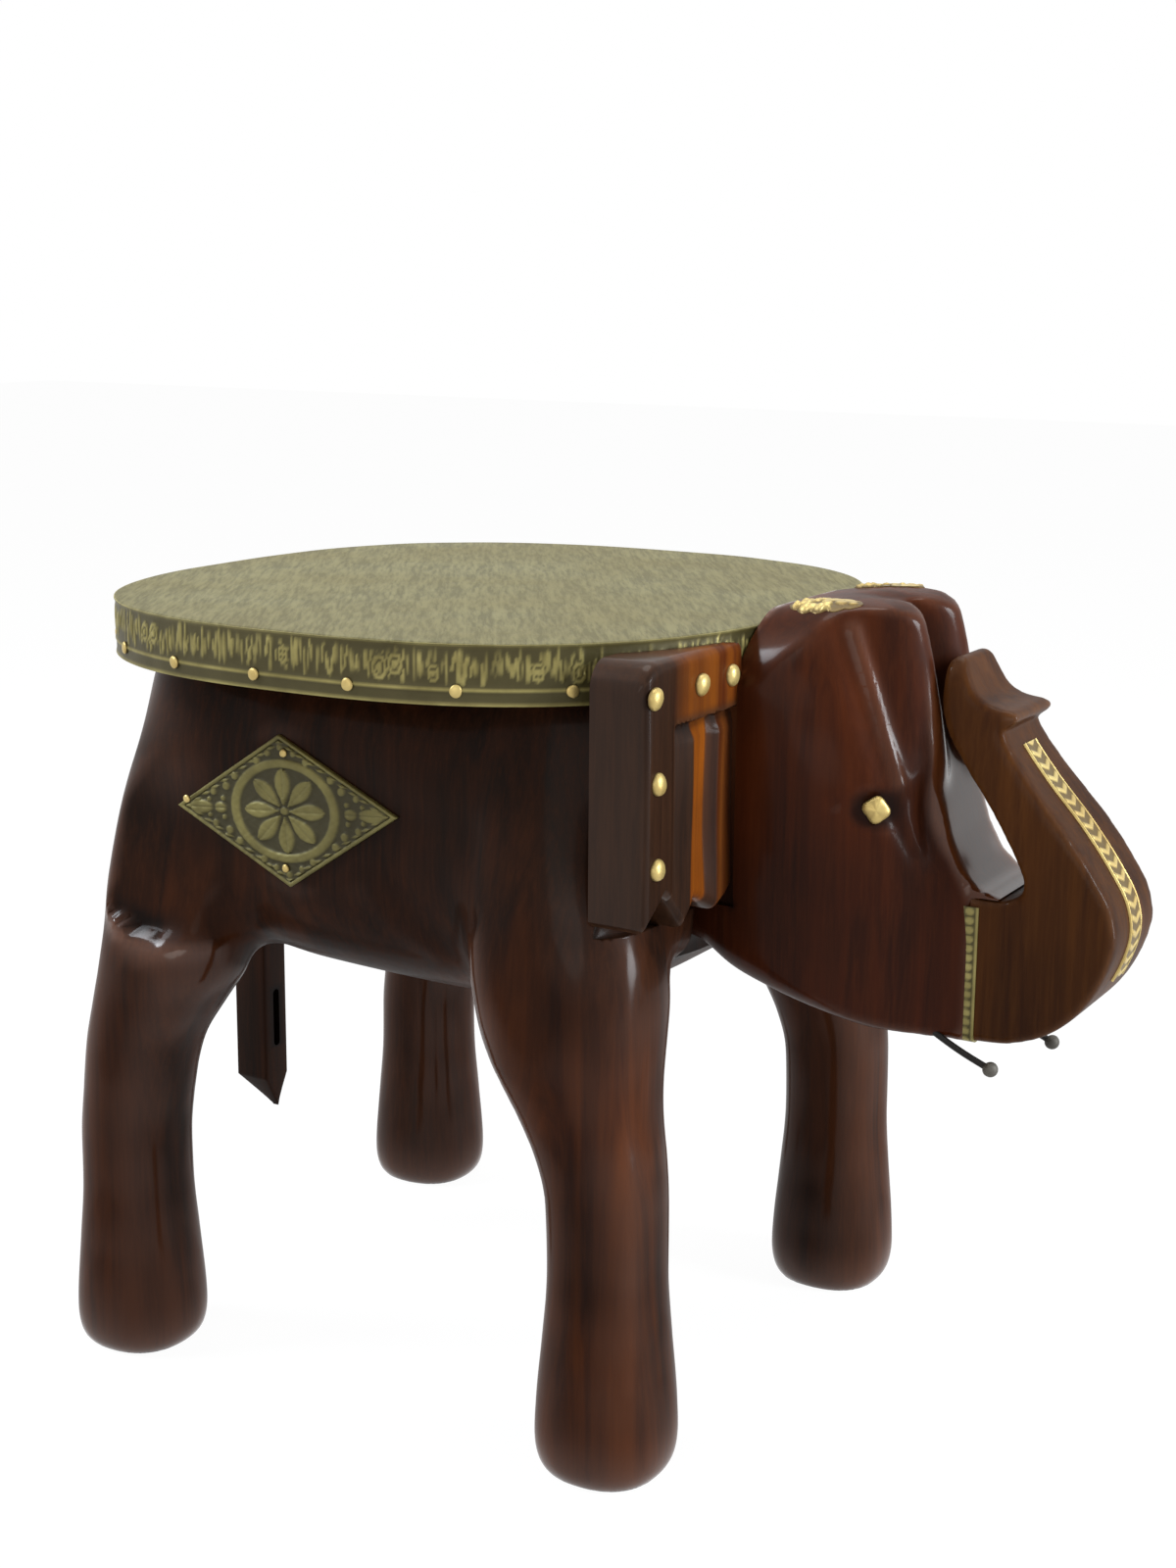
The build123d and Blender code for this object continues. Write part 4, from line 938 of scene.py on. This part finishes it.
for name, side in (("Right", -1), ("Left", 1)):
    front, back = np.zeros((2, len(outs), len(ups), 3))
    tone = np.zeros((len(outs), len(ups)))
    for i, out in enumerate(outs):
        low = np.interp(out, lower[:, 0], lower[:, 1])
        beyond = max(out - (ear["width"] - ear["corner"]), 0)
        high = ear["top"] - ear["corner"] + (ear["corner"] ** 2 - beyond ** 2) ** 0.5
        for j, up in enumerate(ups):
            y, z = side * (joints["earSeat"] + out), low + up * (high - low)
            front[i, j] = (joints["neck"] + ear["thick"] - earSunk(out, z, low, high), y, z)
            back[i, j] = (joints["neck"], y, z)
            tone[i, j] = earWarm(out, z)
    piece = skinGrid(f"earCarved{name}", front, back)
    paint(piece, "warm", np.concatenate([tone.ravel(), tone.ravel() * 0.3]))
    carved(piece, [seatTool()])
    # painted shade in the hollows of the pleats, a darker stain on the outer edge, and edges painted lighter as wear
    # and painted highlight
    depth, outerEdge = sunk(piece, 5, 1), np.abs(readPoints(piece)[:, 1]) > joints["earSeat"] + ear["width"] - 1
    paint(piece, "hollow", np.maximum(np.clip(depth * 1.6, 0, 0.6), 0.3 * outerEdge))
    paint(piece, "worn", np.clip(-depth - 0.1, 0, 0.2))
    dressed(piece, earWood, f"ear_{name.lower()}", 40)
print("ears carved")

# Tail: a plain bar with a slot and a cut point
tail = {"back": 17.0, "half": 7.5, "foot": 63.0, "point": 14.0, "edge": 1.3, "slotHalf": 2.0, "slotFoot": 93.0,
        "slotHead": 115.0, "slotDeep": 5.0,
        "levels": (63.0, 63.4, 66, 70, 74, 76.4, 77, 78, 82, *np.linspace(90, 240, 26), 244, 245)}
rings = []
for z in tail["levels"]:
    share = min(max((z - tail["foot"]) / tail["point"], 0.02), 1)
    half, deep = tail["half"] * share, tail["back"] * (0.15 + 0.85 * share)
    edge = min(tail["edge"], half * 0.6, deep * 0.4)
    ring = []
    for x, y, turn in ((-edge, -half + edge, -pi / 2), (-edge, half - edge, 0), (-deep + edge, half - edge, pi / 2),
                       (-deep + edge, -half + edge, pi)):
        ring += [(joints["rump"] + x + edge * cos(turn + t), y + edge * sin(turn + t), z)
                 for t in np.linspace(0, pi / 2, 4)]
    rings.append(ring)
tailPiece = skinRings("tailCarved", rings)
slotRing = [(end * tail["slotHalf"] * cos(t), z + end * tail["slotHalf"] * sin(t))
            for end, z in ((1, tail["slotHead"]), (-1, tail["slotFoot"])) for t in np.linspace(0, pi, 9)]
carved(tailPiece, [skinRings("tool", [[(x, y, z) for y, z in slotRing]
                                      for x in (joints["rump"] - tail["slotDeep"], joints["rump"] + 11.25)])])
# painted shade in the slot
x, y, z = readPoints(tailPiece).T
inSlot = (np.abs(y) < tail["slotHalf"] + 0.1) * (z > tail["slotFoot"] - 3) * (z < tail["slotHead"] + 3) \
    * (x > joints["rump"] - tail["slotDeep"] - 0.75)
for name, values in (("hollow", inSlot), ("worn", 0 * x), ("warm", 0 * x)):
    paint(tailPiece, name, values)
dressed(tailPiece, bodyWood, "tail", 35)
print("tail carved")


# Corners of each separate solid in a CAD node, in millimetres
def looseParts(node):
    work = bmesh.new()
    work.from_mesh(frame["nodes"][node].data)
    work.transform(frame["nodes"][node].matrix_world)
    bmesh.ops.remove_doubles(work, verts=work.verts, dist=1e-5)
    work.verts.ensure_lookup_table()
    seen, parts = set(), []
    for start in work.verts:
        if start.index in seen:
            continue
        seen.add(start.index)
        waiting, group = [start], []
        while waiting:
            corner = waiting.pop()
            group.append(tuple(corner.co / mm))
            for edge in corner.link_edges:
                other = edge.other_vert(corner)
                if other.index not in seen:
                    seen.add(other.index)
                    waiting.append(other)
        parts.append(np.array(group))
    work.free()
    return parts


# Rings of a nail head from its back to the top of its dome: how far up the dome in radians, and how dirty
nailRings = [(-0.12, 1.0), (0, 0.9), (0.18, 0.35), (0.42, 0), (0.7, 0), (1.0, 0), (1.25, 0), (1.45, 0), (1.54, 0)]
nailSides = 28


# A hand-hammered round nail head, its flat back at a place and its dome along an axis
def nailHead(place, axis, radius, height, wobble, lobes):
    beside = np.cross(axis, (0, 0, 1) if abs(axis[2]) < 0.9 else (1, 0, 0))
    beside /= np.linalg.norm(beside)
    across = np.cross(axis, beside)
    phase, tilt = random.uniform(0, 6), random.uniform(0, 6)
    rings = []
    for lean, _ in nailRings:
        up, ring = max(lean, 0), []
        for t in np.arange(nailSides) * 2 * pi / nailSides:
            r = radius * cos(up) ** 0.85 * (1 + wobble * sin(2 * t + phase) * 0.6 + wobble * 0.5 * sin(3 * t + tilt))
            h = height * sin(up) ** 0.9 * (1 + 0.1 * sin(t + tilt) * cos(up))
            if lobes:
                r *= 1 + 0.09 * cos(lobes * t + 0.6)
                h *= 1 - 0.22 * (0.5 - 0.5 * cos(lobes * t + 0.6)) * sin(2 * up)
            ring.append(place + axis * (h if lean > 0 else lean * 2) + (beside * cos(t) + across * sin(t)) * r)
        rings.append(ring)
    return skinRings("nailHead", rings)


def nailedOn(name, node, finish, axisAt, radius, height, wobble=0.05, lobes=0):
    heads = []
    for corners in looseParts(node):
        axis = np.array(axisAt(corners.mean(0)), float)
        axis /= np.linalg.norm(axis)
        reach = corners @ axis
        top = corners[reach > reach.max() - 0.4].mean(0)
        heads.append(nailHead(top + axis * (reach.max() - top @ axis - height), axis, radius, height, wobble, lobes))
    piece = joined(name, heads)
    dirt = np.tile(np.repeat([dirt for _, dirt in nailRings], nailSides), len(heads))
    paint(piece, "hollow", np.maximum(dirt, 0.8 * (finish == darkIron)))
    dressed(piece, finish, node, 50)


def ovalOutwards(spots):
    # away from the seat's edge, for points given from the seat's middle
    reach = np.array((seat["halfLong"], seat["halfWide"]))
    away = np.abs(spots / reach) ** (seat["power"] - 1) * np.sign(spots) / reach
    return away / np.linalg.norm(away, axis=-1, keepdims=True)


# radius and height of the heads
headSizes = {"earStud": (4.0, 2.6), "plaquePin": (1.6, 0.9), "eyeStud": (4.7, 2.6), "edgePin": (2.3, 0.9),
             "tailNail": (2.25, 0.9)}
for side in ("right", "left"):
    nailedOn(f"earStuds_{side}", f"ear_studs_{side}", brightBrass, lambda spot: (1, 0, 0), *headSizes["earStud"])
    nailedOn(f"plaquePins_{side}", f"plaque_nails_{side}", brightBrass, lambda spot: (0, np.sign(spot[1]), 0),
             *headSizes["plaquePin"])
    nailedOn(f"eyeStud_{side}", f"eye_stud_{side}", brightBrass, lambda spot: (0.35, np.sign(spot[1]), 0),
             *headSizes["eyeStud"], wobble=0.03, lobes=4)
nailedOn("edgePins", "seat_edge_pins", brightBrass, lambda spot: (*ovalOutwards(spot[:2] - (seat["x"], 0)), 0),
         *headSizes["edgePin"])
nailedOn("tailNails", "tail_nails", darkIron, lambda spot: (-1, 0, 0), *headSizes["tailNail"])
print("nails driven")

# Brass over the seat: a thin sheet with a softly beaten edge
sheet = {"under": 304.2, "soft": 1.4, "bevel": 0.55, "radius": 140, "count": 360, "beats": 36,
         "rings": (0.12, 0.3, 0.5, 0.66, 0.78, 0.86, 0.91, 0.94, 0.96, 0.975, 0.985, 0.992, 0.997, 1.0)}
turns = np.arange(sheet["count"])
beatStep = sheet["count"] / sheet["beats"]
beats = [(n * beatStep, random.uniform(-1, 1)) for n in range(sheet["beats"])]
beat = smoothTable([*beats, (sheet["count"], 0)])(turns)[:, 0]
beat = beat * fade(turns, 0, 8) * (1 - fade(turns, sheet["count"] - 8, sheet["count"]))
edgeRing = ovalRing(seat["halfLong"], seat["halfWide"], seat["power"], sheet["count"])


def seatRing(share, z):
    return np.column_stack([edgeRing * share + (seat["x"], 0), np.broadcast_to(z, sheet["count"])])


front, back = [], []
for share in sheet["rings"]:
    bevel = sheet["bevel"] * max(0, 1 - (1 - share) * sheet["radius"] / sheet["soft"]) ** 2
    front.append(seatRing(share, seat["top"] - bevel - (0.1 + 0.12 * beat) * fade(share, 0.86, 0.985)))
    back.append(seatRing(share, sheet["under"]))
seatTop = skinGrid("seatTopBrass", np.stack(front, 1), np.stack(back, 1), loop=True,
                   middle=[(seat["x"], 0, seat["top"]), (seat["x"], 0, sheet["under"])])
dressed(seatTop, seatBrass, "seat_top_sheet", 50)

# Brass band round the edge, pressed with upright strokes and small flowers over a plain lower strip, and turned in
# under the board
edgeBand = {"under": 284.0, "top": 304.6, "deep": 0.55, "inset": 0.8, "sheet": 0.8, "plain": 0.3, "count": 1200,
            "rows": 22, "lip": 3.0, "bend": 0.9,
            # ranges for the strokes: next one, half width, foot and head as shares of the height, lean, how deep
            "pitch": (1.0, 2.6), "half": (0.6, 1.3), "foot": (0.26, 0.55), "head": (0.7, 1.03), "lean": (-1.0, 2.6),
            "bright": (0.4, 1),
            "flowers": 34, "flowerLevel": (0.48, 0.72), "flowerSize": (2.0, 3.2)}
ring = ovalRing(seat["halfLong"], seat["halfWide"], seat["power"], 4000)
closed = np.vstack([ring, ring[:1]])
ringRun = runAlong(closed)
around = ringRun[-1]
at = np.arange(edgeBand["count"]) * around / edgeBand["count"]
edgeLine = np.stack([np.interp(at, ringRun, closed[:, k]) for k in (0, 1)], 1)
outwards = ovalOutwards(edgeLine)
rowShare = np.linspace(0, 1, edgeBand["rows"])
strokes = np.zeros((edgeBand["count"], edgeBand["rows"]))


def fromPlace(place):
    # signed distance round the edge from one place on it
    return (at - place + around / 2) % around - around / 2


strokeAt = 0.0
while strokeAt < around - 2:
    strokeAt += random.uniform(*edgeBand["pitch"])
    half, low, high, lean, bright = (random.uniform(*edgeBand[size])
                                     for size in ("half", "foot", "head", "lean", "bright"))
    for row, share in enumerate(rowShare):
        if low < share < high:
            swell = bright * sin(pi * (share - low) / (high - low)) ** 0.5
            gap = np.abs(fromPlace(strokeAt + lean * (share - 0.6) * 2))
            strokes[:, row] = np.maximum(strokes[:, row], swell * (1 - fade(gap / half, 0.35, 1.0)))
for _ in range(edgeBand["flowers"]):
    middle = random.uniform(0, around)
    level, size = random.uniform(*edgeBand["flowerLevel"]), random.uniform(*edgeBand["flowerSize"])
    for row, share in enumerate(rowShare):
        far = np.hypot(fromPlace(middle) / size, (share - level) * 20 / (size * 1.4))
        flower = (1 - fade(far, 0.3, 0.5)) + np.exp(-((far - 0.85) / 0.2) ** 2)
        strokes[:, row] = np.where(far < 1.25, flower, strokes[:, row])
strokes[:, rowShare < edgeBand["plain"]] *= 0.3
for line in (0.8 * np.exp(-((rowShare - 0.245) / 0.03) ** 2), 0.9 * fade(rowShare, 0.93, 1.0),
             0.5 * (1 - fade(rowShare, 0.0, 0.05))):
    strokes = np.maximum(strokes, line)


def edgeRow(out, z):
    return np.column_stack([edgeLine + (seat["x"], 0) + outwards * np.reshape(out, (-1, 1)), np.full(len(at), z)])


lipRows = (-edgeBand["lip"], -edgeBand["bend"])
front = [edgeRow(out, edgeBand["under"] - edgeBand["sheet"]) for out in lipRows]
back = [edgeRow(out, edgeBand["under"]) for out in lipRows]
for row, share in enumerate(rowShare):
    z = edgeBand["under"] + share * (edgeBand["top"] - edgeBand["under"]) - 0.5 * (row == 0)
    out = edgeBand["deep"] * (strokes[:, row] - 1) * (1 - 0.6 * (share > 0.97))
    front.append(edgeRow(out, min(z, seat["top"] - 0.25)))
    back.append(edgeRow(-edgeBand["inset"], max(z, edgeBand["under"])))
piece = skinGrid("edgeBand", np.stack(front, 1), np.stack(back, 1), loop=True)
paintSheet(piece, np.pad(strokes, ((0, 0), (len(lipRows), 0))), 0.12, 0.62)
dressed(piece, bandBrass, "seat_edge_band", 60)
print("seat brass pressed")


def petalRelief(along, up, count, inner, outer, wide):
    # petals of a flower round the middle, each rounded and split by a fine crease
    far, turn = np.hypot(along, up), np.arctan2(up, along)
    beside = np.abs((turn * count / (2 * pi) + 0.5) % 1 - 0.5) * 2 * pi / count * far
    share = np.clip((far - inner) / (outer - inner), 0, 1)
    half = wide * np.sin(pi * share ** 1.5) ** 0.75 + 0.25
    petal = (1 - fade(beside / half, 0.55, 1.0)) * ((far > inner) & (far < outer))
    return petal * (1 - 0.45 * np.exp(-(beside / 0.5) ** 2) * (share > 0.2))


steps = np.linspace(-1, 1, plaque["steps"])
one, two = np.meshgrid(steps, steps, indexing="ij")
along, up = (one + two) / 2 * plaque["halfLong"], (two - one) / 2 * plaque["halfTall"]
border = np.minimum(1 - np.abs(one), 1 - np.abs(two)) * plaque["halfLong"] * plaque["halfTall"] \
    / np.hypot(plaque["halfLong"], plaque["halfTall"])
ringGap = np.hypot(along / 1.22, up / 0.95)
relief = petalRelief(along / 1.15, up, plaque["petals"], plaque["petalFrom"], plaque["petalTo"], plaque["petalWide"])
relief = np.maximum(relief, np.exp(-((ringGap - plaque["ring"]) / plaque["ringWide"]) ** 4))
relief = np.maximum(relief, 0.8 * (1 - fade(ringGap, 1.0, 2.0)))
for middle, long, wide in plaque["leaves"]:
    leaf = (1 - fade(np.hypot((along - middle) / long, up / wide), 0.55, 1.0)) * (1 - 0.5 * np.exp(-(up / 0.4) ** 2))
    relief = np.maximum(relief, leaf * (ringGap > plaque["ring"] + 2.2))
for x, z, size in plaque["dots"]:
    dotGap = np.hypot(np.abs(along) - x, np.abs(up) - z)
    relief = np.maximum(relief, 0.85 * (1 - fade(dotGap, size * 0.5, size)))
scallop = 0.5 + 0.5 * np.cos((one - two) * 2 * pi * plaque["scallops"])
relief = np.maximum(relief, 0.75 * (border > 2.1) * (border < 3.3) * scallop)
relief = np.maximum(relief, 0.9 * (1 - fade(border, 1.0, 1.7)))
hammered = 0.12 * np.sin(along * 1.3 + np.sin(up * 0.9) * 2) * np.sin(up * 1.1)
x, z = np.moveaxis(plaque["place"] + along[..., None] * leftCorner + up[..., None] * topCorner, -1, 0)
out = plaque["seat"] + plaque["thick"] + (plaque["relief"] * relief + hammered) * (1 - 0.5 * (border < 0.15))
for name, side in (("right", -1), ("left", 1)):
    piece = skinGrid(f"{name}Plaque", np.stack([x, side * out, z], -1),
                     np.stack([x, np.full(out.shape, side * (plaque["seat"] - 0.4)), z], -1))
    paintSheet(piece, relief, 0.1, 0.75)
    dressed(piece, sheetBrass, f"flank_plaque_{name}", 60)
print("plaques pressed")

# Leaf clusters on the crown
cluster = {"x": 91.75, "y": 28.0, "halfLong": 14.0, "halfWide": 8.0, "lobes": 7, "high": 1.7, "thick": 0.35,
           "sunk": 0.6, "crown": 310.5, "top": 314.2, "long": 64, "wide": 33,
           # ranges for the lumps: place along and across, radius, height
           "lumps": 34, "lump": ((-12, 12), (-6, 6), (1.5, 2.8), (0.6, 1))}
headTree = treeOf(headBlock)
for name, side in (("right", -1), ("left", 1)):
    lumps = [[random.uniform(*bounds) for bounds in cluster["lump"]] for _ in range(cluster["lumps"])]
    front, back = np.zeros((2, cluster["long"], cluster["wide"], 3))
    relief = np.zeros((cluster["long"], cluster["wide"]))
    for i in range(cluster["long"]):
        u = 2 * i / (cluster["long"] - 1) - 1
        narrowing = max(0.03, 1 - abs(u) ** 2.2) ** 0.6 * (0.82 + 0.18 * abs(cos(u * cluster["lobes"])))
        for j in range(cluster["wide"]):
            v = 2 * j / (cluster["wide"] - 1) - 1
            ahead, aside = cluster["halfLong"] * u * 0.99, cluster["halfWide"] * v * narrowing * 0.98
            bump = max(high * max(0, 1 - hypot(ahead - x, aside - y) / r) ** 0.5 for x, y, r, high in lumps)
            relief[i, j] = bump * (1 - fade(max(abs(v), abs(u)), 0.86, 1))
            x, y = cluster["x"] + ahead, side * (cluster["y"] + aside)
            hit = headTree.ray_cast(Vector((x, y, 330)) * mm, Vector((0, 0, -1)))[0]
            ground = hit.z / mm if hit else cluster["crown"]
            front[i, j] = (x, y, min(ground + cluster["thick"] + cluster["high"] * relief[i, j], cluster["top"]))
            back[i, j] = (x, y, ground - cluster["sunk"])
    piece = skinGrid(f"{name}Ornament", front, back)
    paintSheet(piece, relief, 0.1, 0.5)
    dressed(piece, brightBrass, f"crown_ornament_{name}", 60)
print("crown ornaments pressed")

# Tusk wires: thin and slightly bowed, each with a paler ball at its end
tusk = {"foot": (133.75, 25.0, 163.5), "wire": 1.2, "ball": 2.8, "sag": 0.8, "sides": 20,
        "tips": [("Right", -1, (162.0, -31.5, 153.4)), ("Left", 1, (163.0, 31.0, 145.6))]}
for name, side, tip in tusk["tips"]:
    foot, tip = np.array(tusk["foot"]) * (1, side, 1), np.array(tip)
    length = np.linalg.norm(tip - foot)
    along = (tip - foot) / length
    beside = np.cross(along, (0, 0, 1))
    beside /= np.linalg.norm(beside)
    above = np.cross(beside, along)
    sections = [(share, tusk["wire"]) for share in np.linspace(-0.15, 0.9, 12)]
    sections += [(1 - tusk["ball"] * cos(t) / length, tusk["ball"] * sin(t))
                 for t in np.linspace(0.45, pi - 0.06, 12)]
    rings = []
    for share, radius in sections:
        middle = foot + (tip - foot) * share - np.array((0, 0, tusk["sag"])) * sin(pi * min(max(share, 0), 1))
        rings.append([middle + radius * (cos(t) * beside + sin(t) * above)
                      for t in np.arange(tusk["sides"]) * 2 * pi / tusk["sides"]])
    piece = skinRings(f"tuskWire{name}", rings)
    paint(piece, "hollow", np.repeat([1.0] * 12 + [0.7, 0.4] + [0.1] * 10, tusk["sides"]))
    dressed(piece, darkIron, f"tusk_nail_{name.lower()}", 60)
print("tusks made")

# Studio: a pale floor, a pale sky and soft lamps
studio = {
    "sky": 0.28, "floor": (0.62, 0.62, 0.62), "floorGlow": 1.09, "floorShare": 0.88, "lookAt": (0, 0, 0.18),
    # place, size, power, colour
    "lamps": {"windowLamp": ((-1.0, -0.6, 1.2), 0.55, 15.0, (0.86, 0.93, 1.0)),
              "rightLamp": ((1.4, 0.25, 0.85), 0.5, 17.0, (0.9, 0.96, 1.0)),
              "nearLamp": ((0.2, -1.7, 0.6), 1.0, 4.0, (1.0, 0.96, 0.9)),
              "lowLamp": ((1.5, 0.3, 0.22), 0.45, 8.0, (0.92, 0.96, 1.0)),
              "topLamp": ((-0.1, 0.3, 1.8), 1.0, 10.0, (1.0, 0.99, 0.95))}}
scene.world = bpy.data.worlds.new("paleSky")
sky = Finish(scene.world)
skyShader = sky.add("ShaderNodeBackground", {}, {
    "Color": (1, 1, 1), "Strength": sky.seen() * (1 - studio["sky"]) + studio["sky"]})
sky.add("ShaderNodeOutputWorld", {}, {"Surface": skyShader})

corners = [(-6000, -6000, 0), (6000, -6000, 0), (6000, 6000, 0), (-6000, 6000, 0)]
floor = makePiece("floor", corners, [(0, 1, 2, 3)])
floor.location.z = -0.0002
floorPaint = Finish(bpy.data.materials.new("paleFloor"))
floorMix = floorPaint.add("ShaderNodeMixShader", {}, {
    0: floorPaint.seen() * studio["floorShare"],
    1: floorPaint.add("ShaderNodeBsdfDiffuse", {}, {"Color": studio["floor"]}),
    2: floorPaint.add("ShaderNodeEmission", {}, {"Color": (1, 1, 1), "Strength": studio["floorGlow"]})})
floorPaint.add("ShaderNodeOutputMaterial", {}, {"Surface": floorMix})
floor.data.materials.append(floorPaint.owner)

for name, (place, size, power, colour) in studio["lamps"].items():
    lamp = bpy.data.lights.new(name, "AREA")
    lamp.shape, lamp.size, lamp.energy, lamp.color = "DISK", size, power, colour
    lampObject = placed(name, lamp)
    lampObject.location = place
    lampObject.rotation_euler = (Vector(studio["lookAt"]) - Vector(place)).to_track_quat("-Z", "Y").to_euler()

viewpoint = {"place": Vector((0.43145, -0.7697, 0.4269)), "target": Vector((-0.02103, -0.00183, 0.22916)),
             "roll": 0.0076, "lens": 52.96, "sensor": 36}
cameraData = bpy.data.cameras.new("camera")
cameraData.sensor_fit, cameraData.sensor_height, cameraData.lens = "VERTICAL", viewpoint["sensor"], viewpoint["lens"]
camera = placed("camera", cameraData)
camera.location = viewpoint["place"]
camera.rotation_mode = "QUATERNION"
camera.rotation_quaternion = (viewpoint["target"] - viewpoint["place"]).to_track_quat("-Z", "Y") \
    @ Quaternion((0, 0, 1), viewpoint["roll"])
scene.camera = camera
scene.view_settings.view_transform = "Standard"
